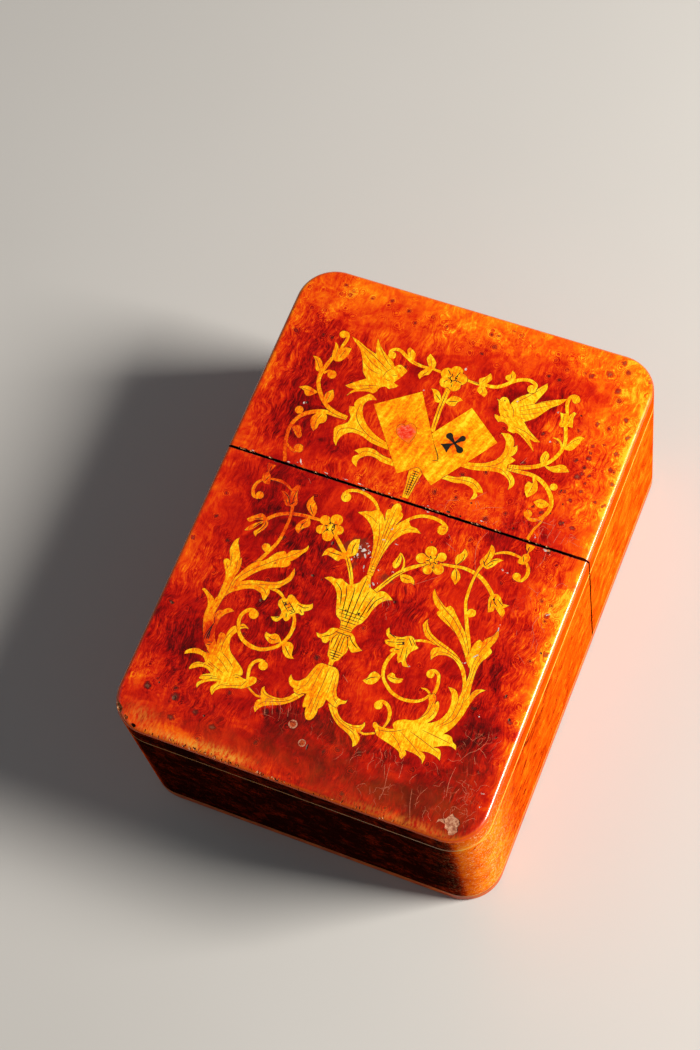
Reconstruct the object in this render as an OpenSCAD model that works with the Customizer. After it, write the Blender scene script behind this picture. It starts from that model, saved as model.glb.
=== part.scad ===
// Playing card box: a marquetry case in two halves, with a lid that pulls off
// lengthwise over an inner sleeve of thin boards. The box lies flat as in use.
// X runs across the box, +Y towards the lid's end and +Z up, from the middle of its underside.

/* [Box] */
// Width over the sides
body_w = 75; // [60:0.5:100]
// Length of the base half, from its end to the seam
base_len = 60.3; // [48:0.1:90]
// Length of the lid half, from the seam to its end
lid_len = 43.7; // [36:0.1:70]
// Height over everything
body_h = 42; // [30:0.5:60]
// Radius of the upright corners
corner_r = 7.75; // [6:0.25:10]

/* [Carcass] */
// Thickness of the side and end walls
wall_t = 3; // [2.5:0.1:4]
// Thickness of the top boards
top_board_t = 2.6; // [1.5:0.1:4]
// Thickness of the bottom plates
plate_t = 3; // [2.6:0.1:4]
// Radius on the lower edge of the bottom plates
plate_edge_r = 0.8; // [0.4:0.1:2]

/* [Veneers and lines] */
// Thickness of the veneer round the sides
skin_t = 0.8; // [0.5:0.05:1.2]
// Thickness of the veneered marquetry panel on top
panel_t = 1.3; // [1.2:0.05:2]
// Radius on the upper edge of the panel
panel_edge_r = 1.1; // [0.4:0.1:1.2]
// Height of the light line let into the sides
line_w = 0.55; // [0.25:0.05:0.8]
// Depth of the line's middle below the top
line_drop = 6.1; // [4.8:0.1:9]
// Height of the thin line above the bottom plate
foot_line_w = 0.3; // [0.2:0.05:0.6]
// Width of the worn groove between the veneers at the seam
seam_groove = 0.4; // [0.2:0.05:1]

/* [Sleeve] */
// Thickness of the sleeve boards
sleeve_t = 1; // [0.8:0.1:1.5]
// Reach of the sleeve into the lid
sleeve_reach = 20; // [12:1:30]
// Clearance of the sleeve in the lid, on each side
slide_gap = 0.15; // [0.1:0.05:0.3]

/* [Marquetry] */
// Depth of the pockets that the marquetry is let into
pocket_d = 0.6; // [0.4:0.05:0.8]
// How far the marquetry lies below the polished surface
inlay_drop = 0.04; // [0.02:0.01:0.1]
// Gap round each piece of marquetry
inlay_gap = 0.03; // [0.02:0.01:0.06]
// Radius of the larger round plug near the base's end
plug_r = 0.85; // [0.6:0.05:1.2]
// Length of the round plugs
plug_len = 0.8; // [0.5:0.05:1]

/* [Hidden] */

// Steps in each span of a drawn curve, and facets of the small drawn rounds
curve_steps = 3;
ball_steps = 14;
// Smooth circles of the case itself
$fn = 64;
// A little more than nothing, by which a cut passes the face it opens
eps = 0.1;

half_w = body_w / 2;
body_len = base_len + lid_len;
seam_y = base_len - body_len / 2;
panel_z = body_h - panel_t;
top_board_z = panel_z - top_board_t;
line_z = body_h - line_drop - line_w / 2;
foot_line_z = plate_t;
skin_z = foot_line_z + foot_line_w;
wall_h = top_board_z - plate_t;
inner_half_w = half_w - skin_t - wall_t;
end_thick = skin_t + wall_t;

// The marquetry is drawn on a box of this size, with its seam here, and fitted to the real one
drawn_w = 75;
drawn_seam = 8.3;
drawn_base = 60.3;
drawn_lid = 43.7;
// Middle line of the drawing on the base: the motifs on its left mirror those on its right
base_axis = -1;

inlay_wood = [0.93, 0.68, 0.12];
pale_wood = [0.96, 0.80, 0.32];
burr_wood = [0.62, 0.16, 0.05];
carcass_wood = [0.55, 0.36, 0.2];
sleeve_wood = [0.66, 0.45, 0.25];

// Drawing curves

function xy(p) = [p.x, p.y];
function is_tip(p) = len(p) == 3;

// A point t of the way along the smooth span from b to c, with a before it and d after it
function span(a, b, c, d, t) =
    0.5 * (2 * b + (c - a) * t + (2 * a - 5 * b + 4 * c - d) * t * t
        + (3 * b - a - 3 * c + d) * t * t * t);

// Fits a drawn point to the size of the box
function fit(p) = [
    p.x * body_w / drawn_w,
    seam_y + (p.y - drawn_seam) * (p.y < drawn_seam ? base_len / drawn_base : lid_len / drawn_lid)
];

// A closed outline through its points: smooth at [x, y], with a sharp tip at [x, y, 1]
function outline(pts) = let (n = len(pts)) [
    for (i = [0 : n - 1])
        let (
            b = pts[i],
            c = pts[(i + 1) % n],
            a = is_tip(b) ? b : pts[(i + n - 1) % n],
            d = is_tip(c) ? c : pts[(i + 2) % n],
            steps = is_tip(b) && is_tip(c) ? 1 : curve_steps
        )
        for (s = [0 : steps - 1]) fit(span(xy(a), xy(b), xy(c), xy(d), s / steps))
];

// Points [x, y, width] along a smooth stem
function stem_path(pts) = let (last = len(pts) - 1) [
    for (i = [0 : last - 1])
        for (s = [0 : curve_steps - 1])
            span(pts[max(i - 1, 0)], pts[i], pts[i + 1], pts[min(i + 2, last)], s / curve_steps),
    pts[last]
];

// The point beside point i of a path, half its width away on the side given by 1 or -1
function beside(path, i, side) =
    let (
        ahead = xy(path[min(i + 1, len(path) - 1)] - path[max(i - 1, 0)]),
        across = [-ahead.y, ahead.x] / norm(ahead)
    )
    fit(xy(path[i]) + side * across * path[i].z / 2);

module leaf(pts) polygon(outline(pts));

module stem(pts) {
    path = stem_path(pts);
    last = len(path) - 1;
    polygon(concat(
        [for (i = [0 : last]) beside(path, i, 1)],
        [for (i = [last : -1 : 0]) beside(path, i, -1)]
    ));
}

module ball(p, r) polygon([
    for (i = [0 : ball_steps - 1]) fit(p + r * [cos(360 * i / ball_steps), sin(360 * i / ball_steps)])
]);

// A five-petalled flower, with its first petal at an angle
module petals(p, reach, r, turn) {
    for (i = [0 : 4]) ball(p + reach * [cos(turn + 72 * i), sin(turn + 72 * i)], r);
    ball(p, reach * 0.8);
}

// Mirrors a drawing about the base's middle line, then shifts it by hand as the left side shows it
module left_side(shift) {
    axis_x = base_axis * body_w / drawn_w;
    translate([2 * axis_x + shift.x, shift.y]) mirror([1, 0]) children();
}

// Marquetry of the base, drawn on its right side

module palmette_2d() {
    leaf([
        [-0.1, -8.1, 1], [-0.05, -6], [0.1, -3.8], [0.5, -1.6], [1.2, 0.3], [2.2, 1.8], [3.6, 2.8],
        [5.5, 3.1, 1], [4.3, 3.9], [3, 4], [2.4, 4.7], [1.7, 4.9], [0.9, 4.3], [0.35, 3.5, 1],
        [0.8, 4.8], [0.7, 5.8], [0.15, 6.1, 1], [0, 7], [-0.8, 7.7], [-1.7, 7.1], [-1.9, 6, 1],
        [-2.5, 5.8], [-2.6, 4.8], [-2.2, 3.6, 1], [-3.1, 4.6], [-4.3, 5.2], [-5.3, 4.4], [-6.4, 4.1],
        [-7.8, 3.3, 1], [-6.2, 2.8], [-4.9, 2], [-3.5, 0.4], [-2.6, -1.6], [-2, -3.8], [-1.5, -6],
        [-1.3, -8.1, 1]
    ]);
    stem([[1.3, 4.2, 0.6], [2.6, 5.6, 0.7], [4.2, 6.6, 0.75], [6.3, 7, 0.8], [8.3, 6.7, 0.75],
        [9.6, 5.9, 0.7], [9.8, 5, 0.5]]);
    ball([9, 5.2], 1.05);
    stem([[-3.9, 4.7, 0.6], [-5.4, 6.4, 0.7], [-7.4, 7.3, 0.75], [-9.4, 7.5, 0.75], [-11, 7, 0.7],
        [-11.8, 6, 0.6], [-11.7, 5.3, 0.4]]);
    ball([-11.1, 5.5], 1.05);
}

module tulip_cup_2d() leaf([
    [-0.25, -8.1, 1], [0, -9.2], [0.5, -10.3], [1.1, -10.6], [1.9, -10.9, 1], [2.5, -10.4],
    [3.4, -10.3], [4.4, -10.7], [5.4, -11.4, 1], [4.1, -12], [3.2, -13], [2.5, -14.5],
    [2.1, -16.2], [1.6, -17.7], [0.9, -18.4], [0.4, -19.4], [0.3, -20.1, 1], [-2.1, -20.1, 1],
    [-2.2, -19.3], [-2.6, -18.5], [-3.7, -17.8], [-4.4, -16.1], [-5, -14.2], [-5.9, -12.8],
    [-7.1, -12], [-8.8, -11.5, 1], [-7.6, -10.8], [-6.5, -10.9], [-5.5, -10.5], [-4.6, -10.8],
    [-3.8, -11.2, 1], [-2.8, -10.7], [-2, -10], [-1.7, -9], [-1.15, -8.1, 1]
]);

module lower_cup_2d() leaf([
    [0.4, -20.15, 1], [1.2, -20.6], [1.9, -21.6], [2.8, -22.3], [3.8, -22.7, 1], [3, -23.3],
    [2, -23.8], [1.3, -23.4], [1, -22.9, 1], [1, -24.1], [0.5, -25.2], [0.2, -26.1], [-0.4, -26.5],
    [-0.5, -27.5, 1], [-1.4, -27.5, 1], [-1.5, -26.5], [-2.2, -25.8], [-2.5, -24.6], [-2.9, -23, 1],
    [-3.4, -23.7], [-4.1, -23.7], [-4.6, -23.2], [-5.4, -23], [-6, -22.2, 1], [-5, -22.2],
    [-4.2, -21.6], [-3.6, -20.5], [-2.5, -20.15, 1]
]);

module bell_2d() leaf([
    [0.1, -27.55, 1], [0.9, -27.9], [1.5, -28.9], [1.9, -30.6], [2.1, -31.8], [2.7, -32.8],
    [3.7, -33.1], [4.4, -33], [4.8, -32.5, 1], [4.6, -33.6], [3.7, -34.1], [3.5, -34.9, 1],
    [2.5, -34.8], [1.7, -34.4], [0.9, -34, 1], [0.9, -35.3], [0.3, -36.2, 1], [0.3, -37.3],
    [0.1, -38.2], [-0.5, -38.85], [-1.3, -38.8], [-1.9, -37.8], [-2.1, -36.7, 1], [-2.7, -36.9],
    [-3, -35.6], [-3, -34.2, 1], [-3.7, -34.4], [-4.3, -34.9], [-5.4, -34.7], [-5.7, -34, 1],
    [-6.6, -33.7], [-7.3, -32.6], [-7.2, -31.5, 1], [-6.4, -32.4], [-5.4, -32.3], [-4.4, -31.3],
    [-3.9, -29.7], [-3.4, -28.3], [-2.6, -27.6], [-2, -27.55, 1]
]);

module garland_drawn() {
    leaf([
        [2.6, -34.3, 1], [3.5, -34.9], [4.3, -36], [5.6, -36.8], [7.2, -36.95], [8.5, -36.6],
        [9.1, -36.1], [9.3, -35.5, 1], [9.7, -36.3], [9.4, -37.4], [9, -38.1, 1], [9.7, -38.8],
        [9.6, -40.2], [9, -41, 1], [8.6, -40], [7.9, -39.3], [6.7, -38.7], [5, -38], [3.7, -37.1],
        [2.5, -35.9], [1.5, -34.6, 1]
    ]);
    stem([[8.6, -37.6, 0.5], [10, -37.85, 0.5], [11.3, -37.3, 0.5], [12.8, -36.5, 0.5]]);
}

module spray_bud_2d() leaf([
    [22.3, -4.3, 1], [23.3, -3.6], [24.3, -4], [25.1, -5.1, 1], [26.6, -5, 1], [25.9, -5.7],
    [25.6, -5.9, 1], [26.2, -6.7], [26, -7.9, 1], [24.9, -7.1], [24.1, -6.4, 1], [24, -7.2],
    [23.1, -7.7, 1], [22.6, -6.3], [22.3, -5.2]
]);

module spray_flower_2d() {
    ball([8.6, 0.3], 1.2);
    ball([10.9, -0.1], 1);
    ball([11.2, -2.65], 1.15);
    ball([9.3, -3.4], 1);
    ball([7.3, -1.55], 1.1);
    ball([9.4, -1.4], 1.3);
}

module flower_spray_drawn() {
    stem([[1.4, -11, 0.8], [2.6, -8.8, 0.9], [3.8, -6.7, 0.9], [5.4, -4.7, 0.85],
        [7.2, -3.3, 0.75], [8.6, -2.5, 0.6]]);
    stem([[11, -1.5, 0.6], [13.5, -1.1, 0.7], [15.5, -0.8, 0.75], [17.5, -0.95, 0.8],
        [19.5, -1.6, 0.85], [21.3, -2.8, 0.9], [23, -4.4, 0.9]]);
    spray_flower_2d();
    spray_bud_2d();
    leaf([[3.1, -1.7, 1], [2.9, -2.9], [2.5, -4.2], [2.9, -5.1], [3.6, -5.1], [4, -4.1], [3.8, -2.7]]);
    stem([[3.3, -1.9, 0.3], [4.2, -2.8, 0.35], [4.7, -4, 0.45], [4.75, -5.4, 0.5]]);
    leaf([[4.7, -6.1, 1], [5.6, -5.65], [6.9, -5.7], [7.8, -6.3], [8.1, -7.3, 1], [7.2, -7.05],
        [6.3, -7.4], [5.3, -7.1]]);
    leaf([[14.1, -0.9, 1], [15.1, 0.6], [15.5, 1.9], [15, 2.7], [14.4, 3.1, 1], [14.1, 2],
        [13.5, 1.2], [13.4, 0.3]]);
    leaf([[14.2, -1.1, 1], [15.3, -1.9], [15.85, -3.1], [15.3, -4.6, 1], [14.6, -3.9],
        [13.9, -3.2], [13.85, -2.2]]);
}

module seam_cup_2d() leaf([
    [25.1, 7.9, 1], [26.9, 7.9, 1], [26.7, 7], [26.2, 6.1], [26.85, 5.3], [26.6, 4.2], [26.1, 3.6],
    [25.4, 3.5], [24.8, 3.7], [25, 4.8], [25.4, 5.6], [25.9, 6.1], [25.4, 6.9]
]);

module bud_scroll_drawn() {
    stem([[22.6, -16.3, 0.8], [21.9, -14.6, 0.85], [20.7, -12.2, 0.8], [19.5, -9.6, 0.75],
        [18.5, -7, 0.7], [18.2, -4, 0.65], [18.3, -1, 0.65], [18.8, 1, 0.8]]);
    stem([[19.3, -9.9, 0.4], [20.3, -9.5, 0.5], [20.95, -8.9, 0.5], [20.6, -8.1, 0.4]]);
    ball([20.2, -8.75], 0.8);
    leaf([[18.6, 0.6, 1], [18, 1.5], [18.3, 2.5], [18.8, 3.6], [18.9, 5.5, 1], [19.7, 5.1],
        [20.2, 3.9], [19.9, 2.3, 1], [20.9, 3.2], [22.3, 3.2, 1], [21.5, 2.5], [20.8, 1.3],
        [20, 0.5], [19.2, 0.6]]);
    stem([[20.1, 3.8, 0.4], [21.4, 4.6, 0.6], [23, 5, 0.7], [25.2, 4.8, 0.5]]);
    seam_cup_2d();
    stem([[26.3, 4.3, 0.5], [27.2, 3.2, 0.75], [27.45, 1.7, 0.8], [26.8, 0.4, 0.75],
        [25.7, 0.2, 0.5]]);
    ball([25.7, 0.9], 0.85);
}

module acanthus_right_2d() {
    // Upright stem, closed into the body, with its pointed top leaf and the outer leaf
    leaf([
        [22.9, -17.7, 1], [22.7, -16], [23, -14.3], [23.6, -13.3], [24.2, -13.5, 1], [24.7, -12.7],
        [25.8, -11.5], [26.1, -9.8, 1], [26.75, -11.4], [26.6, -12.8], [26.1, -14.2, 1],
        [26.7, -14.8], [26.4, -15.9], [25.6, -17.4], [25.3, -19.5], [25.5, -22], [25.8, -24, 1],
        [26.3, -23], [27.1, -22.4], [28.5, -22.2, 1], [27.6, -23], [26.9, -24.2], [26.4, -26],
        [26.1, -28], [25.6, -29.8], [24.9, -31.5], [23.9, -32.9, 1], [22, -34], [20.3, -31.9, 1],
        [21.2, -31.4], [22.3, -30.4], [23, -28.8], [23.1, -27.1], [22.7, -25.5], [22.1, -24.7],
        [21.3, -24, 1], [22.4, -23.9], [23.3, -24.3], [24, -25.4, 1], [24.1, -23.8], [24.2, -21],
        [23.9, -19.3]
    ]);
    // Long leaf to the upper left
    leaf([
        [23.9, -19.4, 1], [23.1, -17.4], [21.9, -15], [20.7, -13], [19.5, -11.8], [17.9, -10.2],
        [16.8, -9.1], [16, -8.8], [15.4, -9.4, 1], [13.9, -8.4], [12.7, -7.4], [12, -6.4, 1],
        [12, -7.7], [12.7, -9], [13.5, -9.8], [14.4, -10.3, 1], [14.1, -11.1], [15.3, -11.9],
        [17.5, -12.9], [19.3, -14], [21, -15.8], [22.6, -18]
    ]);
    // Lower leaf, with the hooked lobe inside the ring
    leaf([
        [13.1, -12.4, 1], [13.4, -13.6], [14.4, -14.9], [16, -15.8], [18.5, -16.6], [20.6, -17.5],
        [22.3, -18.8], [23.6, -20.4], [24.4, -22.6], [24.4, -25.4, 1], [23.9, -23.2], [23.4, -21.8],
        [22.3, -20.1], [20.9, -18.9], [19.3, -18.4], [17.8, -18.7], [17, -19.3], [16.5, -20.3, 1],
        [15.8, -18.6], [16.2, -17.6], [17, -17.2, 1], [15.5, -16.8], [13.9, -16.2], [13.1, -15.3, 1],
        [12.5, -14.2], [12.7, -13.3]
    ]);
    // Body with its torn lower edge, and the inner stalk up to the ring
    leaf([
        [24.4, -31.6, 1], [23.9, -32.9, 1], [24.6, -32.7], [25.6, -32.9], [26.1, -33.7],
        [26.9, -34.1], [27.3, -35.1, 1], [26, -34.7], [24.5, -35.1], [23.3, -35.8, 1], [24.3, -35.8],
        [24.9, -36.6], [25.2, -38, 1], [24.3, -37.5], [22.6, -37.2], [21.2, -37.4, 1], [21.9, -37.6],
        [22.4, -38.2], [22.3, -39.7, 1], [21.8, -38.9], [20.4, -38.3], [18.5, -38.2, 1],
        [18.9, -38.9], [18.4, -40.1, 1], [17.8, -39.6], [17.5, -39], [16.6, -38.5], [14.5, -37.9],
        [12.8, -37.5], [12, -37], [11.6, -36.3], [11, -35.9], [10.9, -35.2], [11.4, -34.9],
        [12, -35.3], [12.9, -35.4], [14.2, -35.3], [14.9, -35, 1], [14.4, -34.3], [14.9, -33.3],
        [16.3, -32.6], [17.7, -32.3], [18.7, -31.3], [19.2, -29.8], [19.2, -28.2], [18.6, -27, 1],
        [19.5, -26, 1], [20.2, -26.7], [20.3, -27.8, 1], [20.7, -27.2], [21.2, -27.9], [21.4, -29.1],
        [21.2, -30.6], [20.4, -31.8, 1]
    ]);
    stem([[13, -35.6, 0.5], [13.35, -34, 0.7], [13.1, -32.4, 0.75], [12.2, -31.2, 0.75],
        [10.9, -30.8, 0.7], [10.1, -31.3, 0.5]]);
    ball([10.5, -31.75], 0.85);
}

// The left acanthus is drawn by itself, because it is longer and has deeper claws
module acanthus_left_2d() {
    leaf([
        [-30.1, -21.5, 1], [-29.4, -21.9], [-28.7, -22.5], [-28.1, -23.3], [-27.7, -24.3],
        [-27.7, -25.4], [-27.5, -26.7], [-27, -28.2], [-26.4, -29.5], [-25.8, -30.6], [-25.1, -31.6],
        [-24.3, -32.4], [-23.9, -33, 1], [-25, -32.9], [-26, -32.8], [-27.1, -33.2], [-28, -34],
        [-28, -34.8, 1], [-27, -34.2], [-25.8, -33.9], [-24.5, -34], [-23.6, -34.8, 1], [-23.8, -35.1],
        [-24.8, -35.2], [-25.6, -35.8], [-26, -36.6], [-26, -37.4, 1], [-25.2, -36.8], [-24.1, -36.1],
        [-22.9, -36], [-21.8, -36.6, 1], [-22.5, -37], [-23.3, -37.6], [-23.4, -38.3, 1],
        [-22.6, -38.3, 1], [-23.3, -39], [-23.4, -39.6], [-23, -40.3, 1], [-22.6, -39.2],
        [-21.8, -38.5], [-20.9, -38], [-19.8, -37.7, 1], [-20.2, -38.4], [-20.6, -39.1], [-20.4, -39.9],
        [-19.7, -40.6, 1], [-19.5, -39.6], [-18.9, -38.9], [-17.9, -38.4], [-16.4, -37.9],
        [-14.9, -37.5], [-13.8, -36.7], [-13.1, -35.9], [-12.8, -35.1], [-13.2, -34.5], [-14.2, -34.6],
        [-15.1, -35.4], [-16.2, -35.2, 1], [-15.8, -34.9], [-16.1, -34], [-17.5, -32.9], [-19.4, -31.6],
        [-20.1, -30.9], [-20.6, -29.8], [-20.8, -28.8], [-20.5, -27.8], [-20.1, -27.2, 1],
        [-20.9, -26.1, 1], [-21.5, -26.6], [-21.9, -27.5], [-22, -28.6, 1], [-22.5, -28.3],
        [-23.1, -28.3], [-23.3, -28.8], [-23.2, -29.7], [-23, -30.8, 1], [-23.7, -29.8], [-24.2, -28.7],
        [-24.4, -27.7], [-24.4, -26.9], [-24.3, -26], [-23.9, -25], [-23.2, -24.2], [-22.3, -23.6, 1],
        [-22.9, -23.3], [-23.5, -23.2], [-24, -23.5], [-24.5, -24], [-25.2, -24.2], [-25.5, -24.6],
        [-25.7, -25.1, 1], [-25.4, -22.1], [-25, -21], [-24.2, -20], [-23.2, -19.3], [-22.1, -18.6],
        [-20.7, -18.2], [-19.7, -18.3], [-18.9, -18.6], [-18.2, -19.5], [-17.7, -19.6, 1],
        [-17.5, -18.7], [-17.4, -17.9], [-17.7, -17.1, 1], [-16.9, -16.7], [-16.1, -16.3],
        [-15.6, -15.6], [-15, -15], [-14.4, -14], [-14.3, -12.9], [-14.5, -12.1], [-14.9, -11.3, 1],
        [-15, -12.2], [-15.2, -13.1], [-15.6, -14], [-16.3, -14.8], [-17.3, -15.4], [-18.6, -15.8],
        [-19.9, -16.1], [-21.1, -16.4], [-22.4, -16.8], [-23.6, -17.5, 1], [-23.1, -16.8],
        [-22.5, -16], [-21.8, -15.2], [-21.1, -14.4], [-20.2, -13.6], [-19.2, -13], [-18.1, -12.5],
        [-17, -12.1], [-16.2, -11.6], [-15.9, -10.9], [-16.2, -10.5, 1], [-15.5, -9.9], [-15, -9.1],
        [-14.5, -8.2], [-14, -7.5], [-13.9, -6.8], [-14.1, -6.2, 1], [-14.7, -7.3], [-15.7, -7.8],
        [-16.6, -8.2], [-17.2, -8.8], [-17.4, -9.4, 1], [-17.9, -8.9], [-18.7, -9.2], [-19.3, -9.6],
        [-19.9, -10.3], [-20.4, -11.2], [-21.2, -12.1], [-22, -12.4], [-22.6, -12.8], [-23.3, -13.7],
        [-24, -14.9], [-24.6, -16.2], [-25.1, -17.4, 1], [-25.1, -16.6], [-24.8, -15.7], [-24.8, -14.6],
        [-25, -13.6], [-25.4, -12.9], [-25.6, -13.3, 1], [-25.7, -12.8], [-26.1, -12], [-26.8, -10.9],
        [-27.3, -10], [-27.4, -9.1, 1], [-28.1, -10], [-28.3, -11], [-28.3, -12.1], [-27.9, -13],
        [-27.3, -14.1, 1], [-27.9, -14], [-28.4, -14.2], [-28.5, -14.7], [-28, -15.5], [-27.4, -16.4],
        [-26.9, -17.3], [-26.7, -18.6], [-26.7, -20.1], [-26.7, -21.6], [-27, -22.7, 1], [-27.3, -22.3],
        [-27.9, -21.9], [-28.7, -21.5], [-29.5, -21.1], [-29.9, -21.2]
    ]);
    // Small curl on the stub at its foot
    stem([[-14.6, -35.4, 0.6], [-15, -33.8, 0.75], [-15.05, -32.6, 0.8], [-14.6, -31.6, 0.75],
        [-13.8, -31.05, 0.75], [-12.8, -31.1, 0.7]]);
    ball([-12.85, -31.85], 0.95);
}

module ring_flower_2d() leaf([
    [6.8, -16.7, 1], [6.4, -17.4], [6.8, -18.3], [7.7, -18.9, 1], [6.9, -19.3], [7.3, -19.95],
    [8.4, -20.2], [9.3, -20], [8.5, -20.7], [8.6, -21.2, 1], [9.5, -21], [10.1, -21.2], [10.5, -22.3],
    [11, -22.8, 1], [11.4, -22.4], [12, -23.1], [13.2, -22.9, 1], [12.2, -21.9], [12.1, -20.8],
    [12.5, -19.8], [13, -19.3], [13.5, -18.7, 1], [12.7, -18.2], [12.3, -17.4], [11.5, -16.9],
    [10.6, -17.1], [9.7, -17.7], [8.6, -17.9], [7.6, -17.8], [7.1, -17.3]
]);

module ring_scroll_drawn() {
    stem([[19, -26.4, 0.6], [17.9, -28, 0.6], [16.2, -28.85, 0.7], [14, -29.1, 0.7],
        [11.8, -28.5, 0.7], [10, -27.1, 0.7], [9, -25.6, 0.75], [8.75, -23.9, 0.75],
        [9, -22.3, 0.75], [9.7, -20.6, 0.7]]);
    stem([[19.4, -26.5, 0.7], [19.5, -25, 0.75], [19.4, -23.7, 0.75], [18.9, -22.4, 0.75],
        [17.9, -21.9, 0.7], [17, -22.2, 0.5]]);
    ball([17.45, -22.75], 0.85);
    stem([[18.8, -26.5, 0.4], [17.9, -25.9, 0.5], [16.8, -25.9, 0.2]]);
    stem([[11.6, -17.9, 0.5], [13.2, -17.2, 0.55], [14.8, -16.95, 0.55], [16.6, -16.9, 0.4]]);
    ring_flower_2d();
    leaf([[9.9, -25.8, 1], [10.4, -25], [11.1, -25], [11.7, -25.6], [13, -25.3, 1], [12.9, -26.1],
        [12, -26.7], [10.9, -26.7], [10.2, -26.3]]);
    leaf([[8.9, -26.3, 1], [8.2, -25.9], [7.3, -25.8], [6.7, -26.6], [6.5, -27.5], [5.8, -28.2, 1],
        [6.9, -28.6], [8, -28.3], [8.7, -27.3]]);
}

// The left flower spray and ring scroll lie otherwise than the right ones too

module spray_flower_left_2d() {
    ball([-13.1, -0.3], 1.05);
    ball([-11, 0.4], 1.25);
    ball([-9.8, -1.4], 1);
    ball([-11.4, -3.2], 1.15);
    ball([-13.2, -2.4], 0.95);
    ball([-11.6, -1.45], 1.6);
}

module flower_spray_left_drawn() {
    stem([[-3.2, -11.1, 0.75], [-4.2, -9.1, 0.85], [-5.3, -7.3, 0.9], [-6.4, -5.9, 0.9],
        [-7.9, -4.5, 0.85], [-9.5, -3.1, 0.8], [-10.4, -2.3, 0.7]]);
    stem([[-13.9, -0.6, 0.6], [-16.3, -0.7, 0.75], [-18.2, -0.9, 0.8], [-20, -1.25, 0.8],
        [-21.4, -1.8, 0.8], [-22.7, -2.6, 0.8], [-24.1, -4.1, 0.8]]);
    spray_flower_left_2d();
    leaf([[-27.7, -5.1, 1], [-27, -4.3], [-26.1, -3.5], [-25.4, -3], [-24.6, -3.2],
        [-23.8, -3.9, 1], [-24, -4.4, 1], [-25.1, -4.4], [-26, -4.8], [-26.5, -5.3], [-27.1, -5.5]]);
    leaf([[-27.2, -7.5, 1], [-26.8, -6.5], [-26.1, -5.7], [-25.2, -4.9], [-24, -4.1, 1],
        [-23.7, -4.5, 1], [-24.6, -5.1], [-25.3, -6.1], [-25.8, -6.8], [-26.4, -7.3]]);
    leaf([[-24.1, -3.8, 1], [-23.4, -4.3], [-23.2, -5], [-23.5, -6], [-24, -6.8], [-24.4, -7.3],
        [-24.6, -8, 1], [-25.1, -7.6], [-25.4, -7.1], [-25, -6.6], [-24.4, -5.8], [-24.2, -4.9]]);
    leaf([[-17.1, 3.9, 1], [-17.7, 2.8], [-17.8, 1.6], [-17.3, 0.7], [-16.4, 0], [-15.5, -0.6, 1],
        [-15.3, 0.5], [-15.5, 1.5], [-16.2, 2.4], [-16.8, 3]]);
    leaf([[-16.3, -0.7, 1], [-15.6, -1.6], [-15.5, -2.5], [-16.2, -3.2], [-16.6, -3.6],
        [-16.9, -4.7, 1], [-17.6, -4.3], [-18, -3.7], [-17.9, -2.8], [-17.4, -1.9]]);
    leaf([[-10.9, -7.6, 1], [-10.8, -6.4], [-10.3, -5.5], [-9.5, -5.2], [-8.6, -5.4], [-7.7, -5.5],
        [-6.5, -5.6, 1], [-6, -6.5, 1], [-7.1, -6.8], [-7.4, -7.4], [-8, -7.5], [-8.7, -7.2],
        [-9.6, -7], [-10.3, -7.1]]);
    leaf([[-5.2, -1.7, 1], [-4.9, -2.8], [-4.7, -3.8], [-4.7, -4.8], [-5.1, -5.4], [-6.1, -6, 1],
        [-6.8, -5, 1], [-6.9, -3.8], [-6.7, -2.9], [-6.1, -2.1]]);
}

module ring_flower_left_2d() leaf([
    [-14.8, -18, 1], [-15.2, -18.7], [-15, -19.6], [-14.1, -20.3], [-13.8, -21], [-14.2, -21.8],
    [-15.4, -22.2, 1], [-14.7, -22.8], [-13.8, -22.8], [-13.1, -21.8, 1], [-12.4, -22.2],
    [-11.8, -21.7], [-11.6, -20.9, 1], [-11.2, -20.3, 1], [-10.7, -19.9], [-9.9, -20.1],
    [-9.5, -19.7], [-9.7, -19.2, 1], [-8.9, -18.7], [-8.4, -17.9], [-8.8, -16.9, 1], [-9.3, -17.5],
    [-10.6, -17.9], [-11.6, -17.6], [-12.6, -16.9], [-13.3, -16.7], [-13.8, -17.1],
    [-13.9, -17.8, 1]
]);

module ring_scroll_left_drawn() {
    stem([[-20.3, -26.2, 0.7], [-19.8, -27.2, 0.75], [-18.8, -28.2, 0.8], [-17.5, -28.8, 0.85],
        [-16, -29.1, 0.85], [-14.5, -28.95, 0.85], [-13.2, -28.4, 0.8], [-12.1, -27.6, 0.75],
        [-11.2, -26.5, 0.75], [-10.7, -25.3, 0.75], [-10.4, -23.9, 0.8], [-10.5, -22.5, 0.8],
        [-10.9, -21.2, 0.75], [-11.5, -20.2, 0.7]]);
    stem([[-20.2, -26.4, 0.7], [-20.7, -25.3, 0.8], [-20.8, -24.1, 0.8], [-20.4, -23, 0.8],
        [-19.7, -22.3, 0.8], [-18.8, -22.1, 0.7], [-18.1, -22.5, 0.5]]);
    ball([-18.6, -22.9], 1);
    leaf([[-20.4, -25.9, 1], [-20, -25.4], [-19.5, -25.3], [-18.9, -25.5], [-18.3, -26, 1],
        [-19.1, -26.1], [-19.8, -26.6, 1]]);
    stem([[-18, -16.9, 0.7], [-16.6, -16.9, 0.7], [-15.3, -17.3, 0.7], [-14.1, -18.2, 0.6]]);
    ring_flower_left_2d();
    leaf([[-15, -25.3, 1], [-15, -26.2], [-14.3, -26.9], [-13.4, -27.3], [-12.6, -27.1],
        [-12, -26.7], [-11.2, -26.5, 1], [-11.9, -25.7], [-12.5, -25.2], [-13.3, -25.1],
        [-14, -25.5]]);
    leaf([[-10.7, -25.9, 1], [-11.1, -26.6], [-10.8, -27.5], [-10.2, -28.3], [-9.2, -28.9],
        [-7.8, -28.6, 1], [-8.5, -28.1], [-8.7, -27.3], [-8.9, -26.4], [-9.6, -25.8]]);
}

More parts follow.
